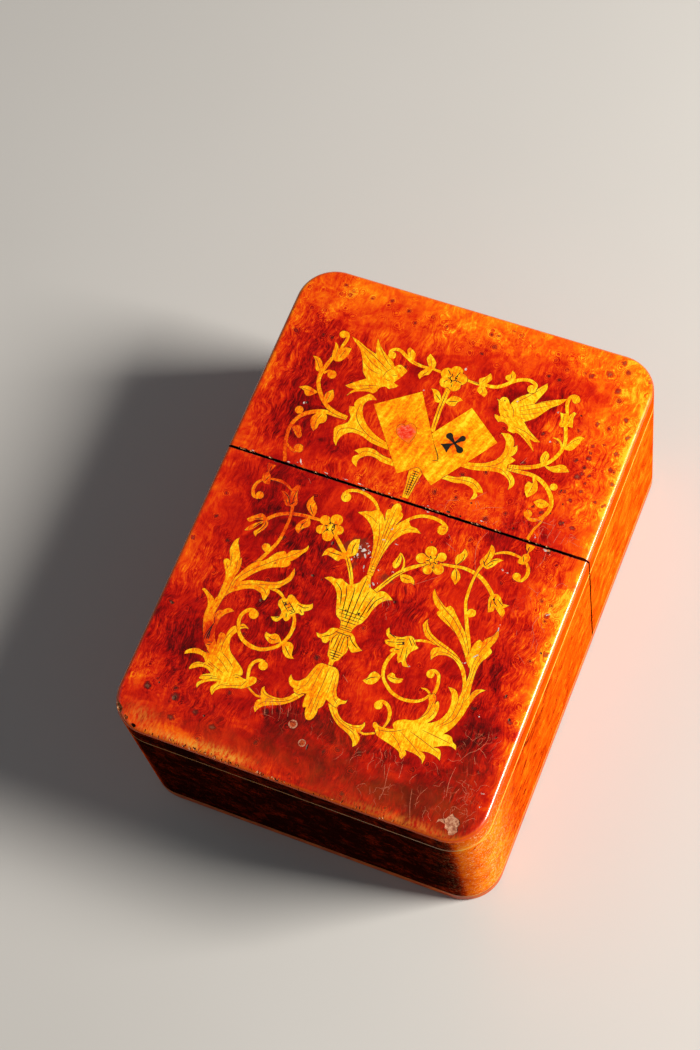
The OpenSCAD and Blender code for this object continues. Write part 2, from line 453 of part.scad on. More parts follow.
// How far each mirrored motif on the base's left lies from the one on its right
garland_shift = [0.3, 0.1];
bud_scroll_shift = [0.5, -0.5];

// The drawn motifs with their neighbours on the same side cut out of them

module bud_scroll_right_2d() difference() {
    bud_scroll_drawn();
    acanthus_right_2d();
}

module bud_scroll_left_2d() difference() {
    left_side(bud_scroll_shift) bud_scroll_drawn();
    acanthus_left_2d();
}

module garland_right_2d() difference() {
    garland_drawn();
    bell_2d();
    acanthus_right_2d();
}

module garland_left_2d() difference() {
    left_side(garland_shift) garland_drawn();
    bell_2d();
    acanthus_left_2d();
}

module flower_spray_right_2d() difference() {
    flower_spray_drawn();
    tulip_cup_2d();
    bud_scroll_right_2d();
}

module flower_spray_left_2d() difference() {
    flower_spray_left_drawn();
    tulip_cup_2d();
    bud_scroll_left_2d();
}

module ring_scroll_right_2d() difference() {
    ring_scroll_drawn();
    acanthus_right_2d();
}

module ring_scroll_left_2d() difference() {
    ring_scroll_left_drawn();
    acanthus_left_2d();
}

// Marquetry of the lid: its two sides are drawn one by one, because they differ more

module heart_card_2d() polygon([for (p = [[-13.5, 25.9], [-5.4, 31.6], [3, 18.4], [-3.7, 13.4]]) fit(p)]);

module club_card_2d() polygon([for (p = [[-3.9, 18.7], [5.1, 31.4], [12.5, 25.9], [3.5, 13.2]]) fit(p)]);

module heart_pip_2d() leaf([
    [-3.9, 20.1, 1], [-3.5, 21.2], [-3.2, 22.6], [-3.6, 23.8], [-4.5, 24.4], [-5.3, 24.2],
    [-5.8, 23.4, 1], [-6.3, 23.7], [-7, 23.4], [-7.3, 22.6], [-6.9, 21.5], [-5.9, 20.8]
]);

// Where the club's lobes and its foot meet
club_middle = [4.6, 23.1];

// One drop-shaped lobe of the club, from its middle out to a round end
module club_lobe(end, r) {
    half = (club_middle + end) / 2;
    stem([[club_middle.x, club_middle.y, 0.3], [half.x, half.y, r], [end.x, end.y, 1.8 * r]]);
    ball(end, r);
}

module club_pip_2d() {
    club_lobe([3.15, 24.3], 0.66);
    club_lobe([5.75, 24.55], 0.6);
    club_lobe([6.1, 22.05], 0.66);
    leaf([[4.7, 23.1, 1], [4.1, 22.3], [3.8, 20.8, 1], [3, 21.6], [2.2, 22.1, 1], [3.3, 22.6]]);
}

module cards_2d() {
    heart_card_2d();
    club_card_2d();
}

module staff_2d() difference() {
    leaf([[-2, 17, 1], [1.2, 17, 1], [0.8, 13, 1], [0.4, 9.1, 1], [-0.9, 9.1, 1], [-1.4, 13, 1]]);
    cards_2d();
}

module centre_flower_2d() petals([-0.7, 36.2], 1.55, 1.35, 84);

module flower_stem_2d() difference() {
    union() {
        stem([[-0.7, 35, 1.1], [-0.8, 31.5, 1.05], [-0.75, 28.5, 1], [-0.4, 24, 0.9]]);
        leaf([[-1, 30.4, 1], [-2.2, 30.3], [-2.9, 31.3], [-3.4, 32.2], [-4.1, 32.8, 1], [-2.8, 32.9],
            [-1.8, 32.2], [-1.3, 31.3]]);
        leaf([[-0.5, 31, 1], [0, 31.7], [0.6, 32.6], [1.8, 32.8], [3, 32.3, 1], [2.1, 31.7],
            [1.8, 30.7], [0.9, 30.3], [0, 30.6]]);
    }
    cards_2d();
    centre_flower_2d();
}

module festoon_right_2d() difference() {
    union() {
        stem([[1.4, 36.8, 0.7], [4.2, 36.6, 0.6], [6, 36.85, 0.7], [7.8, 37.1, 0.8], [9.3, 38, 0.8],
            [10.6, 39.3, 0.8], [12.2, 40.3, 0.8], [13.8, 40.6, 0.8], [15.2, 40.1, 0.75],
            [15.5, 39.2, 0.5]]);
        ball([14.75, 38.95], 0.95);
        leaf([[4.5, 36.7, 1], [4.2, 37.8], [5.2, 38.6], [5.9, 39.7, 1], [6.6, 38.6], [6.1, 37.4],
            [5.4, 36.7]]);
        leaf([[4.9, 36.6, 1], [4.6, 35.5], [5.2, 34.8], [6.6, 34.3, 1], [6.8, 35.4], [6.2, 36.2],
            [5.5, 36.8]]);
        leaf([[10.4, 39.1, 1], [9.2, 39.3], [8.9, 40.1], [9.6, 40.7], [9.7, 41.6, 1], [10.6, 41.1],
            [10.9, 40.3], [10.8, 39.5]]);
    }
    centre_flower_2d();
}

module festoon_left_2d() difference() {
    union() {
        stem([[-2.8, 36.7, 0.7], [-5.2, 36.9, 0.6], [-7.4, 36.75, 0.7], [-9.4, 37, 0.8],
            [-11, 37.7, 0.8], [-12.6, 38.55, 0.8], [-13.8, 38.6, 0.8], [-14.6, 37.9, 0.7],
            [-14.5, 37.1, 0.4]]);
        ball([-14, 37.15], 0.85);
        leaf([[-4.9, 36.9, 1], [-5, 38.2], [-5.9, 39.2], [-6.9, 39.9, 1], [-7.3, 38.8], [-6.7, 37.7],
            [-5.9, 36.8]]);
        leaf([[-5.2, 36.8, 1], [-5.5, 35.5], [-6.4, 34.9], [-6.9, 33.9, 1], [-7.6, 34.7],
            [-7.2, 35.8], [-6.2, 36.8]]);
        leaf([[-9.5, 37.1, 1], [-9.5, 38.5], [-9.9, 39.2], [-11.3, 40, 1], [-11.6, 39.2],
            [-11.1, 38.2], [-10.5, 37.2]]);
    }
    centre_flower_2d();
}

module bird_right_2d() difference() {
    leaf([
        [8.6, 35, 1], [9.5, 34.8], [9.9, 35.5], [10.6, 35.7], [11.3, 35.3], [11.9, 34.4, 1],
        [12.2, 35.5], [13.2, 36.8], [14.6, 38], [15.9, 39.6], [17.2, 41.2, 1], [17.6, 39.9],
        [17.1, 38.3], [16.5, 36.3, 1], [18.2, 37.4], [20, 38.3], [22, 39.2, 1], [21.2, 37.6],
        [19.6, 36.2], [18.7, 34.9], [17.6, 33.3], [15.9, 31.8, 1], [17.6, 30.3], [20.3, 28.7, 1],
        [19.2, 28.4], [18.1, 28.7, 1], [19.9, 26.2, 1], [17.6, 27.9], [15.4, 29.1], [14.6, 28.8],
        [13.3, 29, 1], [13.2, 29.8], [12, 30.4], [11, 30.1, 1], [10, 30.9], [9.7, 31.6, 1],
        [10.9, 31.5], [10.3, 32.4], [9.8, 33.7], [9.3, 34.5]
    ]);
    festoon_right_2d();
    crown_spray_right_2d();
    lid_leaf_right_drawn();
}

module bird_left_2d() difference() {
    leaf([
        [-9.8, 34.9, 1], [-10.2, 33.8], [-10.8, 32.6], [-11.4, 31.6], [-10.3, 31.3, 1],
        [-10.8, 30.6], [-11.9, 29.9, 1], [-12.8, 30.2], [-13.7, 29.6], [-14, 28.6], [-14.6, 28],
        [-15.4, 28.1, 1], [-16.6, 27.8], [-18.2, 27.1], [-19.4, 25.6, 1], [-19, 26.8],
        [-18.3, 27.8, 1], [-19.5, 27.6], [-20.5, 27.9, 1], [-18.9, 29.2], [-17, 30.7, 1],
        [-18.2, 31.8], [-18.9, 33.4], [-19.7, 35], [-20.8, 36.5], [-22.2, 37.6], [-23.3, 38.5, 1],
        [-21.6, 38.1], [-19.4, 37.1], [-17.3, 36.5, 1], [-17.8, 38], [-18.1, 39.8, 1],
        [-17, 38.4], [-15.7, 37.3], [-14.2, 36.4], [-13.1, 35.6], [-12.6, 34.9, 1],
        [-12.1, 35.5], [-11.4, 35.7], [-10.6, 35.3]
    ]);
    festoon_left_2d();
    crown_spray_left_2d();
    lid_leaf_left_drawn();
}

module crown_spray_right_2d() {
    stem([[16.2, 21.9, 0.8], [18.5, 22.4, 0.9], [20.5, 23.2, 0.9], [22.3, 24.3, 0.9],
        [23.6, 25.7, 0.8], [24.5, 27.6, 0.8], [24.8, 29.5, 0.8], [24.5, 31.3, 0.8], [23.7, 33.4, 0.8]]);
    leaf([[21.6, 36.1, 1], [22.4, 36], [23, 36.2], [23.5, 35.8, 1], [24.1, 36.9], [24.8, 36.8, 1],
        [24.6, 35.6], [24.9, 34.3], [25.1, 33.5, 1], [24.3, 33.6], [23.6, 33.3], [22.8, 33],
        [22.3, 33.5], [22.3, 34.6]]);
    stem([[23.3, 35.8, 0.5], [22.6, 37.3, 0.75], [22.3, 38.9, 0.8], [22.8, 40.1, 0.8],
        [23.8, 40.2, 0.6], [24.2, 39.7, 0.4]]);
    ball([23.7, 39.5], 0.85);
    leaf([[24.9, 28.8, 1], [25.5, 30.4], [26.2, 31.8], [27.1, 32.4], [28, 32.3, 1], [27.5, 31],
        [27, 29.7], [26.2, 28.8]]);
    stem([[24.7, 28.6, 0.4], [24.1, 29.8, 0.5], [23.3, 30.4, 0.5], [22.2, 30.4, 0.2]]);
    leaf([[22.6, 24.4, 1], [22.9, 25.6], [22.9, 26.6], [22, 27.3], [21.5, 26.6], [21.4, 25.3],
        [22, 24.4]]);
    leaf([[22.6, 24.2, 1], [24.3, 24.7], [25.5, 25.5], [26.7, 25.5], [27.7, 24.5, 1], [26.5, 24],
        [25, 23.5], [23.5, 23.7]]);
}

module crown_spray_left_2d() {
    stem([[-17.3, 21.5, 0.7], [-19.5, 21.7, 0.8], [-21.6, 22.3, 0.9], [-23.3, 23.5, 0.9],
        [-24.7, 25.1, 0.9], [-25.7, 26.8, 0.85], [-26, 28.6, 0.9], [-25.7, 30.5, 0.9],
        [-25.1, 32.9, 0.8]]);
    leaf([[-25.9, 36.3, 1], [-25.2, 35.9], [-24.6, 35, 1], [-24.2, 35.2, 1], [-23.4, 35.9],
        [-22.2, 35.9, 1], [-22.3, 34.7], [-22.7, 33.4], [-23.4, 32.5], [-24.3, 32.3], [-25.2, 32.6],
        [-25.6, 33.8], [-25.6, 35.2]]);
    stem([[-24.4, 34.8, 0.5], [-24.05, 36.4, 0.75], [-23.9, 37.9, 0.8], [-24.3, 38.8, 0.75],
        [-25.1, 38.9, 0.6]]);
    ball([-25, 38.4], 0.85);
    leaf([[-26.2, 29, 1], [-27.2, 29.2], [-27.8, 30.2], [-28.2, 31.2], [-29, 32, 1], [-27.9, 32.1],
        [-26.9, 31.5], [-26.2, 30.4]]);
    stem([[-25.5, 29, 0.5], [-24.7, 29.9, 0.5], [-23.9, 30, 0.4]]);
    ball([-23.8, 29.3], 0.95);
    leaf([[-24.9, 24.8, 1], [-26.8, 25.4], [-28, 25.3], [-29.1, 24.6, 1], [-27.8, 24.2],
        [-27.3, 23.6], [-26.5, 23.3], [-25.4, 24.2]]);
    leaf([[-22.7, 22.8, 1], [-23.4, 24.2], [-23.4, 25.2], [-22.9, 25.8], [-22.3, 26.4, 1],
        [-21.8, 25.6], [-21.5, 24.6], [-21.8, 23.6]]);
}

module lower_scroll_right_2d() difference() {
    union() {
        stem([[16.2, 21.3, 0.8], [18.8, 21.5, 0.9], [21.3, 21.6, 0.9], [23.5, 20.9, 0.9],
            [25.3, 19.5, 0.9], [26.5, 17.8, 0.9], [26.8, 16, 0.9], [26.3, 14.4, 0.8],
            [25.3, 13.2, 0.8], [24, 12.8, 0.8], [23, 13.2, 0.5]]);
        ball([23.2, 13.75], 0.85);
        stem([[26.6, 15.4, 0.4], [26.1, 12.8, 0.55], [25.3, 10.8, 0.6], [24.95, 8.7, 0.65]]);
        leaf([[21.2, 21.5, 1], [22.6, 20.6], [23.2, 19], [22.8, 17.9], [21.8, 16.8, 1], [21, 17.9],
            [20.6, 19.2], [21, 20.2], [21.8, 20.1]]);
        ball([25.9, 20.6], 0.8);
        leaf([[23.3, 16.4, 1], [24.2, 17.4], [25.2, 17.5], [26.4, 16.8], [25.4, 15.7], [24.4, 15.7]]);
    }
    crown_spray_right_2d();
}

module lower_scroll_left_2d() difference() {
    union() {
        stem([[-17.3, 21.2, 0.7], [-19.5, 21.2, 0.85], [-21.8, 21.3, 0.9], [-24, 20.6, 0.9],
            [-25.9, 19.3, 0.9], [-27, 17.5, 0.85], [-27.3, 15.5, 0.8], [-27, 13.2, 0.75],
            [-26.4, 11.2, 0.7], [-25.4, 8.7, 0.8]]);
        leaf([[-22.3, 21.2, 1], [-23.6, 20.2], [-24.1, 18.9], [-23.5, 17.4], [-22.6, 16.5, 1],
            [-22.1, 17.4], [-22, 18.4], [-21.2, 19], [-21, 20], [-21.6, 20.9]]);
        ball([-27, 20], 0.9);
        leaf([[-27, 15.9, 1], [-26.1, 16.8], [-25.3, 16.7], [-24.8, 15.8], [-24.3, 14.8],
            [-24.8, 14.2], [-25.6, 14.6], [-26.3, 15.3]]);
        stem([[-26.7, 12.6, 0.4], [-25.4, 11.6, 0.6], [-24.2, 11.3, 0.6]]);
        ball([-23.9, 12.2], 1);
    }
    crown_spray_left_2d();
}

module lid_leaf_right_drawn() {
    leaf([
        [12.2, 28.1, 1], [13.1, 28.3], [13.9, 28.5], [14.9, 28], [15.5, 27.2], [15.8, 26.2, 1],
        [16.3, 26.8, 1], [16.7, 25.6], [16.5, 24.6], [16, 24, 1], [17.1, 23.6, 1], [16.6, 22.8],
        [16, 22.2], [16.2, 21.3, 1], [17.4, 20.5], [18.3, 19.6], [18.6, 18.6], [18.3, 17.8],
        [17.7, 17, 1], [17.7, 18.2], [17.1, 19.2], [16, 19.8], [14.4, 20], [12, 19.4], [9.8, 18.9],
        [7.2, 18.8, 1], [7.9, 20.1, 1], [9.2, 20.3], [10.9, 20.8], [12.4, 21.6], [13.5, 22.6],
        [14.1, 24], [14.2, 25.4], [13.8, 26.8], [12.9, 27.7]
    ]);
    leaf([
        [4.8, 16.2, 1], [7.4, 16.5], [8.8, 17.1], [10.4, 17.3], [11.8, 16.8], [13, 15.9],
        [13.7, 14.9, 1], [12.9, 14.9], [12.4, 14.7, 1], [12.8, 14], [12.4, 13.2], [11.6, 12.8, 1],
        [11.9, 13.9], [11.6, 14.9], [10.6, 15.4], [9.2, 15.6], [7.6, 15.2], [4.8, 15.2, 1]
    ]);
}

module lid_leaf_left_drawn() {
    leaf([
        [-13.2, 26.9, 1], [-14, 27.5], [-15, 27.8], [-15.9, 27], [-16.9, 25.9], [-17.2, 24.9],
        [-16.9, 24.2, 1], [-17.9, 24, 1], [-17.6, 22.9], [-16.8, 21.8], [-16.9, 20.6, 1],
        [-17.6, 19.9], [-18.6, 19.1], [-18.9, 18.2], [-18.4, 17], [-18, 15.9], [-17.1, 15, 1],
        [-17.2, 16.2], [-16.9, 17.3], [-16.1, 18.3], [-14.8, 18.8], [-13.2, 18.7], [-11.8, 18.2],
        [-10.2, 17.8], [-6.4, 17.5, 1], [-7, 18.8, 1], [-9.6, 19.4], [-11.6, 20.3], [-13.4, 21.6],
        [-14.7, 23.2], [-15.2, 24.8], [-14.9, 26], [-14.1, 26.6]
    ]);
    leaf([
        [-4.8, 15.9, 1], [-7.8, 16.2], [-9.6, 16.8], [-11.3, 16.7], [-12.6, 16], [-13.4, 15.3, 1],
        [-12.6, 15.1], [-12.2, 14.8, 1], [-13.1, 14], [-12.9, 12.9], [-11.6, 12.1, 1],
        [-11.8, 13.4], [-11.3, 14.4], [-10.2, 15.1], [-8.8, 15.1], [-7.4, 14.7], [-4.8, 14.6, 1]
    ]);
}

module lid_leaf_right_2d() difference() {
    lid_leaf_right_drawn();
    cards_2d();
    crown_spray_right_2d();
    lower_scroll_right_2d();
}

module lid_leaf_left_2d() difference() {
    lid_leaf_left_drawn();
    cards_2d();
    crown_spray_left_2d();
    lower_scroll_left_2d();
}

// Marquetry pieces and their pockets

// One piece of marquetry, a little smaller than its pocket all round
module inlay() {
    translate([0, 0, body_h - pocket_d])
    linear_extrude(pocket_d - inlay_drop)
    offset(delta = -inlay_gap) children();
}

module base_marquetry_2d() {
    palmette_2d();
    tulip_cup_2d();
    lower_cup_2d();
    bell_2d();
    garland_right_2d();
    garland_left_2d();
    flower_spray_right_2d();
    flower_spray_left_2d();
    bud_scroll_right_2d();
    bud_scroll_left_2d();
    acanthus_right_2d();
    acanthus_left_2d();
    ring_scroll_right_2d();
    ring_scroll_left_2d();
}

module lid_marquetry_2d() {
    cards_2d();
    staff_2d();
    centre_flower_2d();
    flower_stem_2d();
    festoon_right_2d();
    festoon_left_2d();
    bird_right_2d();
    bird_left_2d();
    crown_spray_right_2d();
    crown_spray_left_2d();
    lower_scroll_right_2d();
    lower_scroll_left_2d();
    lid_leaf_right_2d();
    lid_leaf_left_2d();
}

// Places of the two round plugs near the base's end, as [x, y, share of the larger one's radius]
plugs = [[-3.1, -40.6, 1], [-0.1, -43.4, 0.85]];

module plug_holes(gap) {
    for (p = plugs)
        translate(concat(fit(p), body_h - plug_len))
        cylinder(r = plug_r * p.z + gap, h = plug_len + (gap > 0 ? eps : -inlay_drop));
}

// The case: each half is drawn with its seam on the X axis and its end towards -Y

// Outline of a half, drawn in from its outer faces, with its two end corners rounded
module half_plan(length, inset) {
    r = corner_r - inset;
    mid_w = half_w - corner_r;
    for (side = [-1, 1]) translate([side * mid_w, corner_r - length]) circle(r);
    translate([-mid_w, inset - length]) square([2 * mid_w, length - inset]);
    translate([inset - half_w, corner_r - length]) square([2 * (half_w - inset), length - corner_r]);
}

// Section through a board's outer edge, its top edge rounded, from the corner's axis outwards
module edge_section(reach, thick, r) {
    square([reach - r, thick]);
    square([reach, thick - r]);
    translate([reach - r, thick - r]) intersection() {
        circle(r);
        square(r);
    }
}

// A flat board with the half's outline and a rounded upper edge along the sides and the end
module rounded_board(length, thick, r) {
    mid_w = half_w - corner_r;
    mid_y = corner_r - length;
    translate([-mid_w, mid_y, 0]) cube([2 * mid_w, -mid_y, thick]);
    for (side = [-1, 1]) {
        translate([side * mid_w, mid_y, 0])
        rotate_extrude(angle = 90, start = side < 0 ? 180 : 270)
        edge_section(corner_r, thick, r);
    }
    translate([mid_w, 0, 0]) rotate([90, 0, 0]) linear_extrude(-mid_y)
    edge_section(corner_r, thick, r);
    translate([-mid_w, 0, 0]) mirror([1, 0, 0]) rotate([90, 0, 0]) linear_extrude(-mid_y)
    edge_section(corner_r, thick, r);
    translate([-mid_w, mid_y, 0]) rotate([90, 0, 90]) mirror([1, 0, 0])
    linear_extrude(2 * mid_w) edge_section(corner_r, thick, r);
}

// A thin band round the outside of a half
module skin_band(length, z, height) {
    translate([0, 0, z]) linear_extrude(height) difference() {
        half_plan(length - seam_groove / 2, 0);
        half_plan(length - seam_groove / 2, skin_t);
    }
}

module place_base() translate([0, seam_y, 0]) children();

module place_lid() translate([0, seam_y, 0]) mirror([0, 1, 0]) children();

// Moves what is worn back from the seam to its place
module behind_groove() translate([0, -seam_groove / 2, 0]) children();

module panel_blank(length) {
    behind_groove() translate([0, 0, panel_z])
    rounded_board(length - seam_groove / 2, panel_t, panel_edge_r);
}

module skin(length) behind_groove() skin_band(length, skin_z, line_z - skin_z);

module edge_band(length) behind_groove() skin_band(length, line_z + line_w, panel_z - line_z - line_w);

module side_line(length) behind_groove() skin_band(length, line_z, line_w);

module foot_line(length) behind_groove() skin_band(length, foot_line_z, foot_line_w);

module top_board(length) {
    translate([0, 0, top_board_z]) linear_extrude(top_board_t) half_plan(length, skin_t);
}

module plate(length) {
    translate([0, 0, plate_t]) mirror([0, 0, 1]) rounded_board(length, plate_t, plate_edge_r);
}

module side_wall(length, side) {
    translate([0, 0, plate_t]) linear_extrude(wall_h) intersection() {
        half_plan(length, skin_t);
        translate([side < 0 ? -half_w : inner_half_w, -length]) square([half_w - inner_half_w, length]);
    }
}

module end_wall(length) {
    translate([0, 0, plate_t]) linear_extrude(wall_h) intersection() {
        half_plan(length, skin_t);
        translate([-inner_half_w, -length]) square([2 * inner_half_w, end_thick]);
    }
}

// Base

module base_panel() color(burr_wood) difference() {
    place_base() panel_blank(base_len);
    translate([0, 0, body_h - pocket_d]) linear_extrude(pocket_d + eps) base_marquetry_2d();
    plug_holes(inlay_gap);
}

module base_skin() color(burr_wood) place_base() skin(base_len);
module base_edge_band() color(burr_wood) place_base() edge_band(base_len);
module base_line() color(pale_wood) place_base() side_line(base_len);
module base_foot_line() color(pale_wood) place_base() foot_line(base_len);
module base_top_board() color(carcass_wood) place_base() top_board(base_len);
module base_wall_left() color(carcass_wood) place_base() side_wall(base_len, -1);
module base_wall_right() color(carcass_wood) place_base() side_wall(base_len, 1);
module base_wall_end() color(carcass_wood) place_base() end_wall(base_len);
module base_plate() color(burr_wood) place_base() plate(base_len);

// Lid

module lid_panel() color(burr_wood) difference() {
    place_lid() panel_blank(lid_len);
    translate([0, 0, body_h - pocket_d]) linear_extrude(pocket_d + eps) lid_marquetry_2d();
}

module lid_skin() color(burr_wood) place_lid() skin(lid_len);
module lid_edge_band() color(burr_wood) place_lid() edge_band(lid_len);
module lid_line() color(pale_wood) place_lid() side_line(lid_len);
module lid_foot_line() color(pale_wood) place_lid() foot_line(lid_len);
module lid_top_board() color(carcass_wood) place_lid() top_board(lid_len);
module lid_wall_left() color(carcass_wood) place_lid() side_wall(lid_len, -1);
module lid_wall_right() color(carcass_wood) place_lid() side_wall(lid_len, 1);
module lid_wall_end() color(carcass_wood) place_lid() end_wall(lid_len);
module lid_plate() color(burr_wood) place_lid() plate(lid_len);

// Sleeve: four thin boards glued into the base, eased by the clearance where they enter the lid

// A sleeve board as wide as w across, its outer face up at z = 0 on the base side
module sleeve_board(w, tongue_w) {
    start = end_thick - base_len;
    translate([-w / 2, start, -sleeve_t]) cube([w, -start, sleeve_t]);
    translate([-tongue_w / 2, -eps, -sleeve_t])
    cube([tongue_w, sleeve_reach + eps, sleeve_t - slide_gap]);
}

sleeve_inner_w = 2 * (inner_half_w - sleeve_t);
sleeve_mid_z = (plate_t + top_board_z) / 2;

module sleeve_top() color(sleeve_wood) translate([0, seam_y, top_board_z])
    sleeve_board(sleeve_inner_w, sleeve_inner_w);

module sleeve_bottom() color(sleeve_wood) translate([0, seam_y, plate_t]) mirror([0, 0, 1])
    sleeve_board(sleeve_inner_w, sleeve_inner_w);

module sleeve_left() color(sleeve_wood) translate([-inner_half_w, seam_y, sleeve_mid_z])
    rotate([0, -90, 0]) sleeve_board(wall_h, wall_h - 2 * slide_gap);

module sleeve_right() color(sleeve_wood) translate([inner_half_w, seam_y, sleeve_mid_z])
    rotate([0, 90, 0]) sleeve_board(wall_h, wall_h - 2 * slide_gap);

// Marquetry pieces of the base

module palmette() color(inlay_wood) inlay() palmette_2d();
module tulip_cup() color(inlay_wood) inlay() tulip_cup_2d();
module lower_cup() color(inlay_wood) inlay() lower_cup_2d();
module bell() color(inlay_wood) inlay() bell_2d();
module garland_right() color(inlay_wood) inlay() garland_2d();
module garland_left() color(inlay_wood) inlay() garland_left_2d();

module garland_right() color(inlay_wood) inlay() garland_right_2d();

module flower_spray_left() color(inlay_wood) inlay() flower_spray_left_2d();

module flower_spray_right() color(inlay_wood) inlay() flower_spray_right_2d();

module bud_scroll_left() color(inlay_wood) inlay() bud_scroll_left_2d();

module bud_scroll_right() color(inlay_wood) inlay() bud_scroll_right_2d();

module acanthus_left() color(inlay_wood) inlay() acanthus_left_2d();

module acanthus_right() color(inlay_wood) inlay() acanthus_right_2d();

module ring_scroll_left() color(inlay_wood) inlay() ring_scroll_left_2d();

module ring_scroll_right() color(inlay_wood) inlay() ring_scroll_right_2d();

module round_plugs() color(carcass_wood) plug_holes(0);

// Marquetry pieces of the lid

module heart_card() color(pale_wood) inlay() difference() {
    heart_card_2d();
    heart_pip_2d();
}

module club_card() color(pale_wood) inlay() difference() {
    club_card_2d();
    heart_card_2d();
    club_pip_2d();
}

module heart_pip() color([0.85, 0.2, 0.12]) inlay() heart_pip_2d();
module club_pip() color([0.1, 0.08, 0.07]) inlay() club_pip_2d();
module staff() color(pale_wood) inlay() staff_2d();
module centre_flower() color(inlay_wood) inlay() centre_flower_2d();
module flower_stem() color(inlay_wood) inlay() flower_stem_2d();
module festoon_right() color(inlay_wood) inlay() festoon_right_2d();
module festoon_left() color(inlay_wood) inlay() festoon_left_2d();
module bird_right() color(inlay_wood) inlay() bird_right_2d();
module bird_left() color(inlay_wood) inlay() bird_left_2d();
module crown_spray_right() color(inlay_wood) inlay() crown_spray_right_2d();
module crown_spray_left() color(inlay_wood) inlay() crown_spray_left_2d();
module lower_scroll_right() color(inlay_wood) inlay() lower_scroll_right_2d();
module lower_scroll_left() color(inlay_wood) inlay() lower_scroll_left_2d();
module lid_leaf_right() color(inlay_wood) inlay() lid_leaf_right_2d();
module lid_leaf_left() color(inlay_wood) inlay() lid_leaf_left_2d();

base_panel();
base_skin();
base_edge_band();
base_line();
base_foot_line();
base_top_board();
base_wall_left();
base_wall_right();
base_wall_end();
base_plate();
lid_panel();
lid_skin();
lid_edge_band();
lid_line();
lid_foot_line();
lid_top_board();
lid_wall_left();
lid_wall_right();
lid_wall_end();
lid_plate();
sleeve_top();
sleeve_bottom();
sleeve_left();
sleeve_right();
palmette();
tulip_cup();
lower_cup();
bell();
garland_left();
garland_right();
flower_spray_left();
flower_spray_right();
bud_scroll_left();
bud_scroll_right();
acanthus_left();
acanthus_right();
ring_scroll_left();
ring_scroll_right();
round_plugs();
heart_card();
club_card();
heart_pip();
club_pip();
staff();
centre_flower();
flower_stem();
festoon_left();
festoon_right();
bird_left();
bird_right();
crown_spray_left();
crown_spray_right();
lower_scroll_left();
lower_scroll_right();
lid_leaf_left();
lid_leaf_right();
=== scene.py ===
"""Playing card box: burr veneers, marquetry with its penwork, old lacquer and wear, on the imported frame."""
import math
import random

import bmesh
import bpy
from mathutils import Matrix, Vector


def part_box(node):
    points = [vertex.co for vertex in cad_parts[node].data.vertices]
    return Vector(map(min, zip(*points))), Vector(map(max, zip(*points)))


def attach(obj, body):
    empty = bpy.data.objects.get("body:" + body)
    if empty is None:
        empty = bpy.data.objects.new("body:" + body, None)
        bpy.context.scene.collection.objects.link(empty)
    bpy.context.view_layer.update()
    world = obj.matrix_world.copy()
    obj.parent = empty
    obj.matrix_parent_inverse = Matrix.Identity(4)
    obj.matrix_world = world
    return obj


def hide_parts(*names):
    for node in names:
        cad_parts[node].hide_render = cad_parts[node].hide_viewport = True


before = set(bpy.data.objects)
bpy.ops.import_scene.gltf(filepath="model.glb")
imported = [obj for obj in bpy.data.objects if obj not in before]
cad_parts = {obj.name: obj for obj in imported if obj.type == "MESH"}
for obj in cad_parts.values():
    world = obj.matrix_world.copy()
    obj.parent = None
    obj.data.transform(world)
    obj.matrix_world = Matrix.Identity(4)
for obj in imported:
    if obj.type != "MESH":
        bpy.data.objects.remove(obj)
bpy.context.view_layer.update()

MM = 0.001
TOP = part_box("base_panel")[1].z / MM
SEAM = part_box("base_wall_left")[1].y / MM
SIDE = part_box("base_panel")[1].x / MM
NEAR_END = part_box("base_panel")[0].y / MM
LINE_Z = sum(corner.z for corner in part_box("base_line")) / 2 / MM

# The pieces let into each half's top
PAIRED = ("flower_spray", "bud_scroll", "garland", "acanthus", "ring_scroll")
LID_PAIRED = ("crown_spray", "lower_scroll", "lid_leaf", "festoon", "bird")
INLAYS = {
    "base": ["palmette", "tulip_cup", "lower_cup", "bell",
             *(name + side for name in PAIRED for side in ("_left", "_right"))],
    "lid": ["staff", "centre_flower", "flower_stem", "heart_card", "club_card",
            *(name + side for name in LID_PAIRED for side in ("_left", "_right"))],
}


# Shaders

def linear(red, green, blue):
    """A colour of 0 to 255, as a screen shows it, in the numbers that the shader takes."""
    def one(value):
        value /= 255
        return value / 12.92 if value <= 0.04045 else ((value + 0.055) / 1.055) ** 2.4
    return (one(red), one(green), one(blue), 1.0)


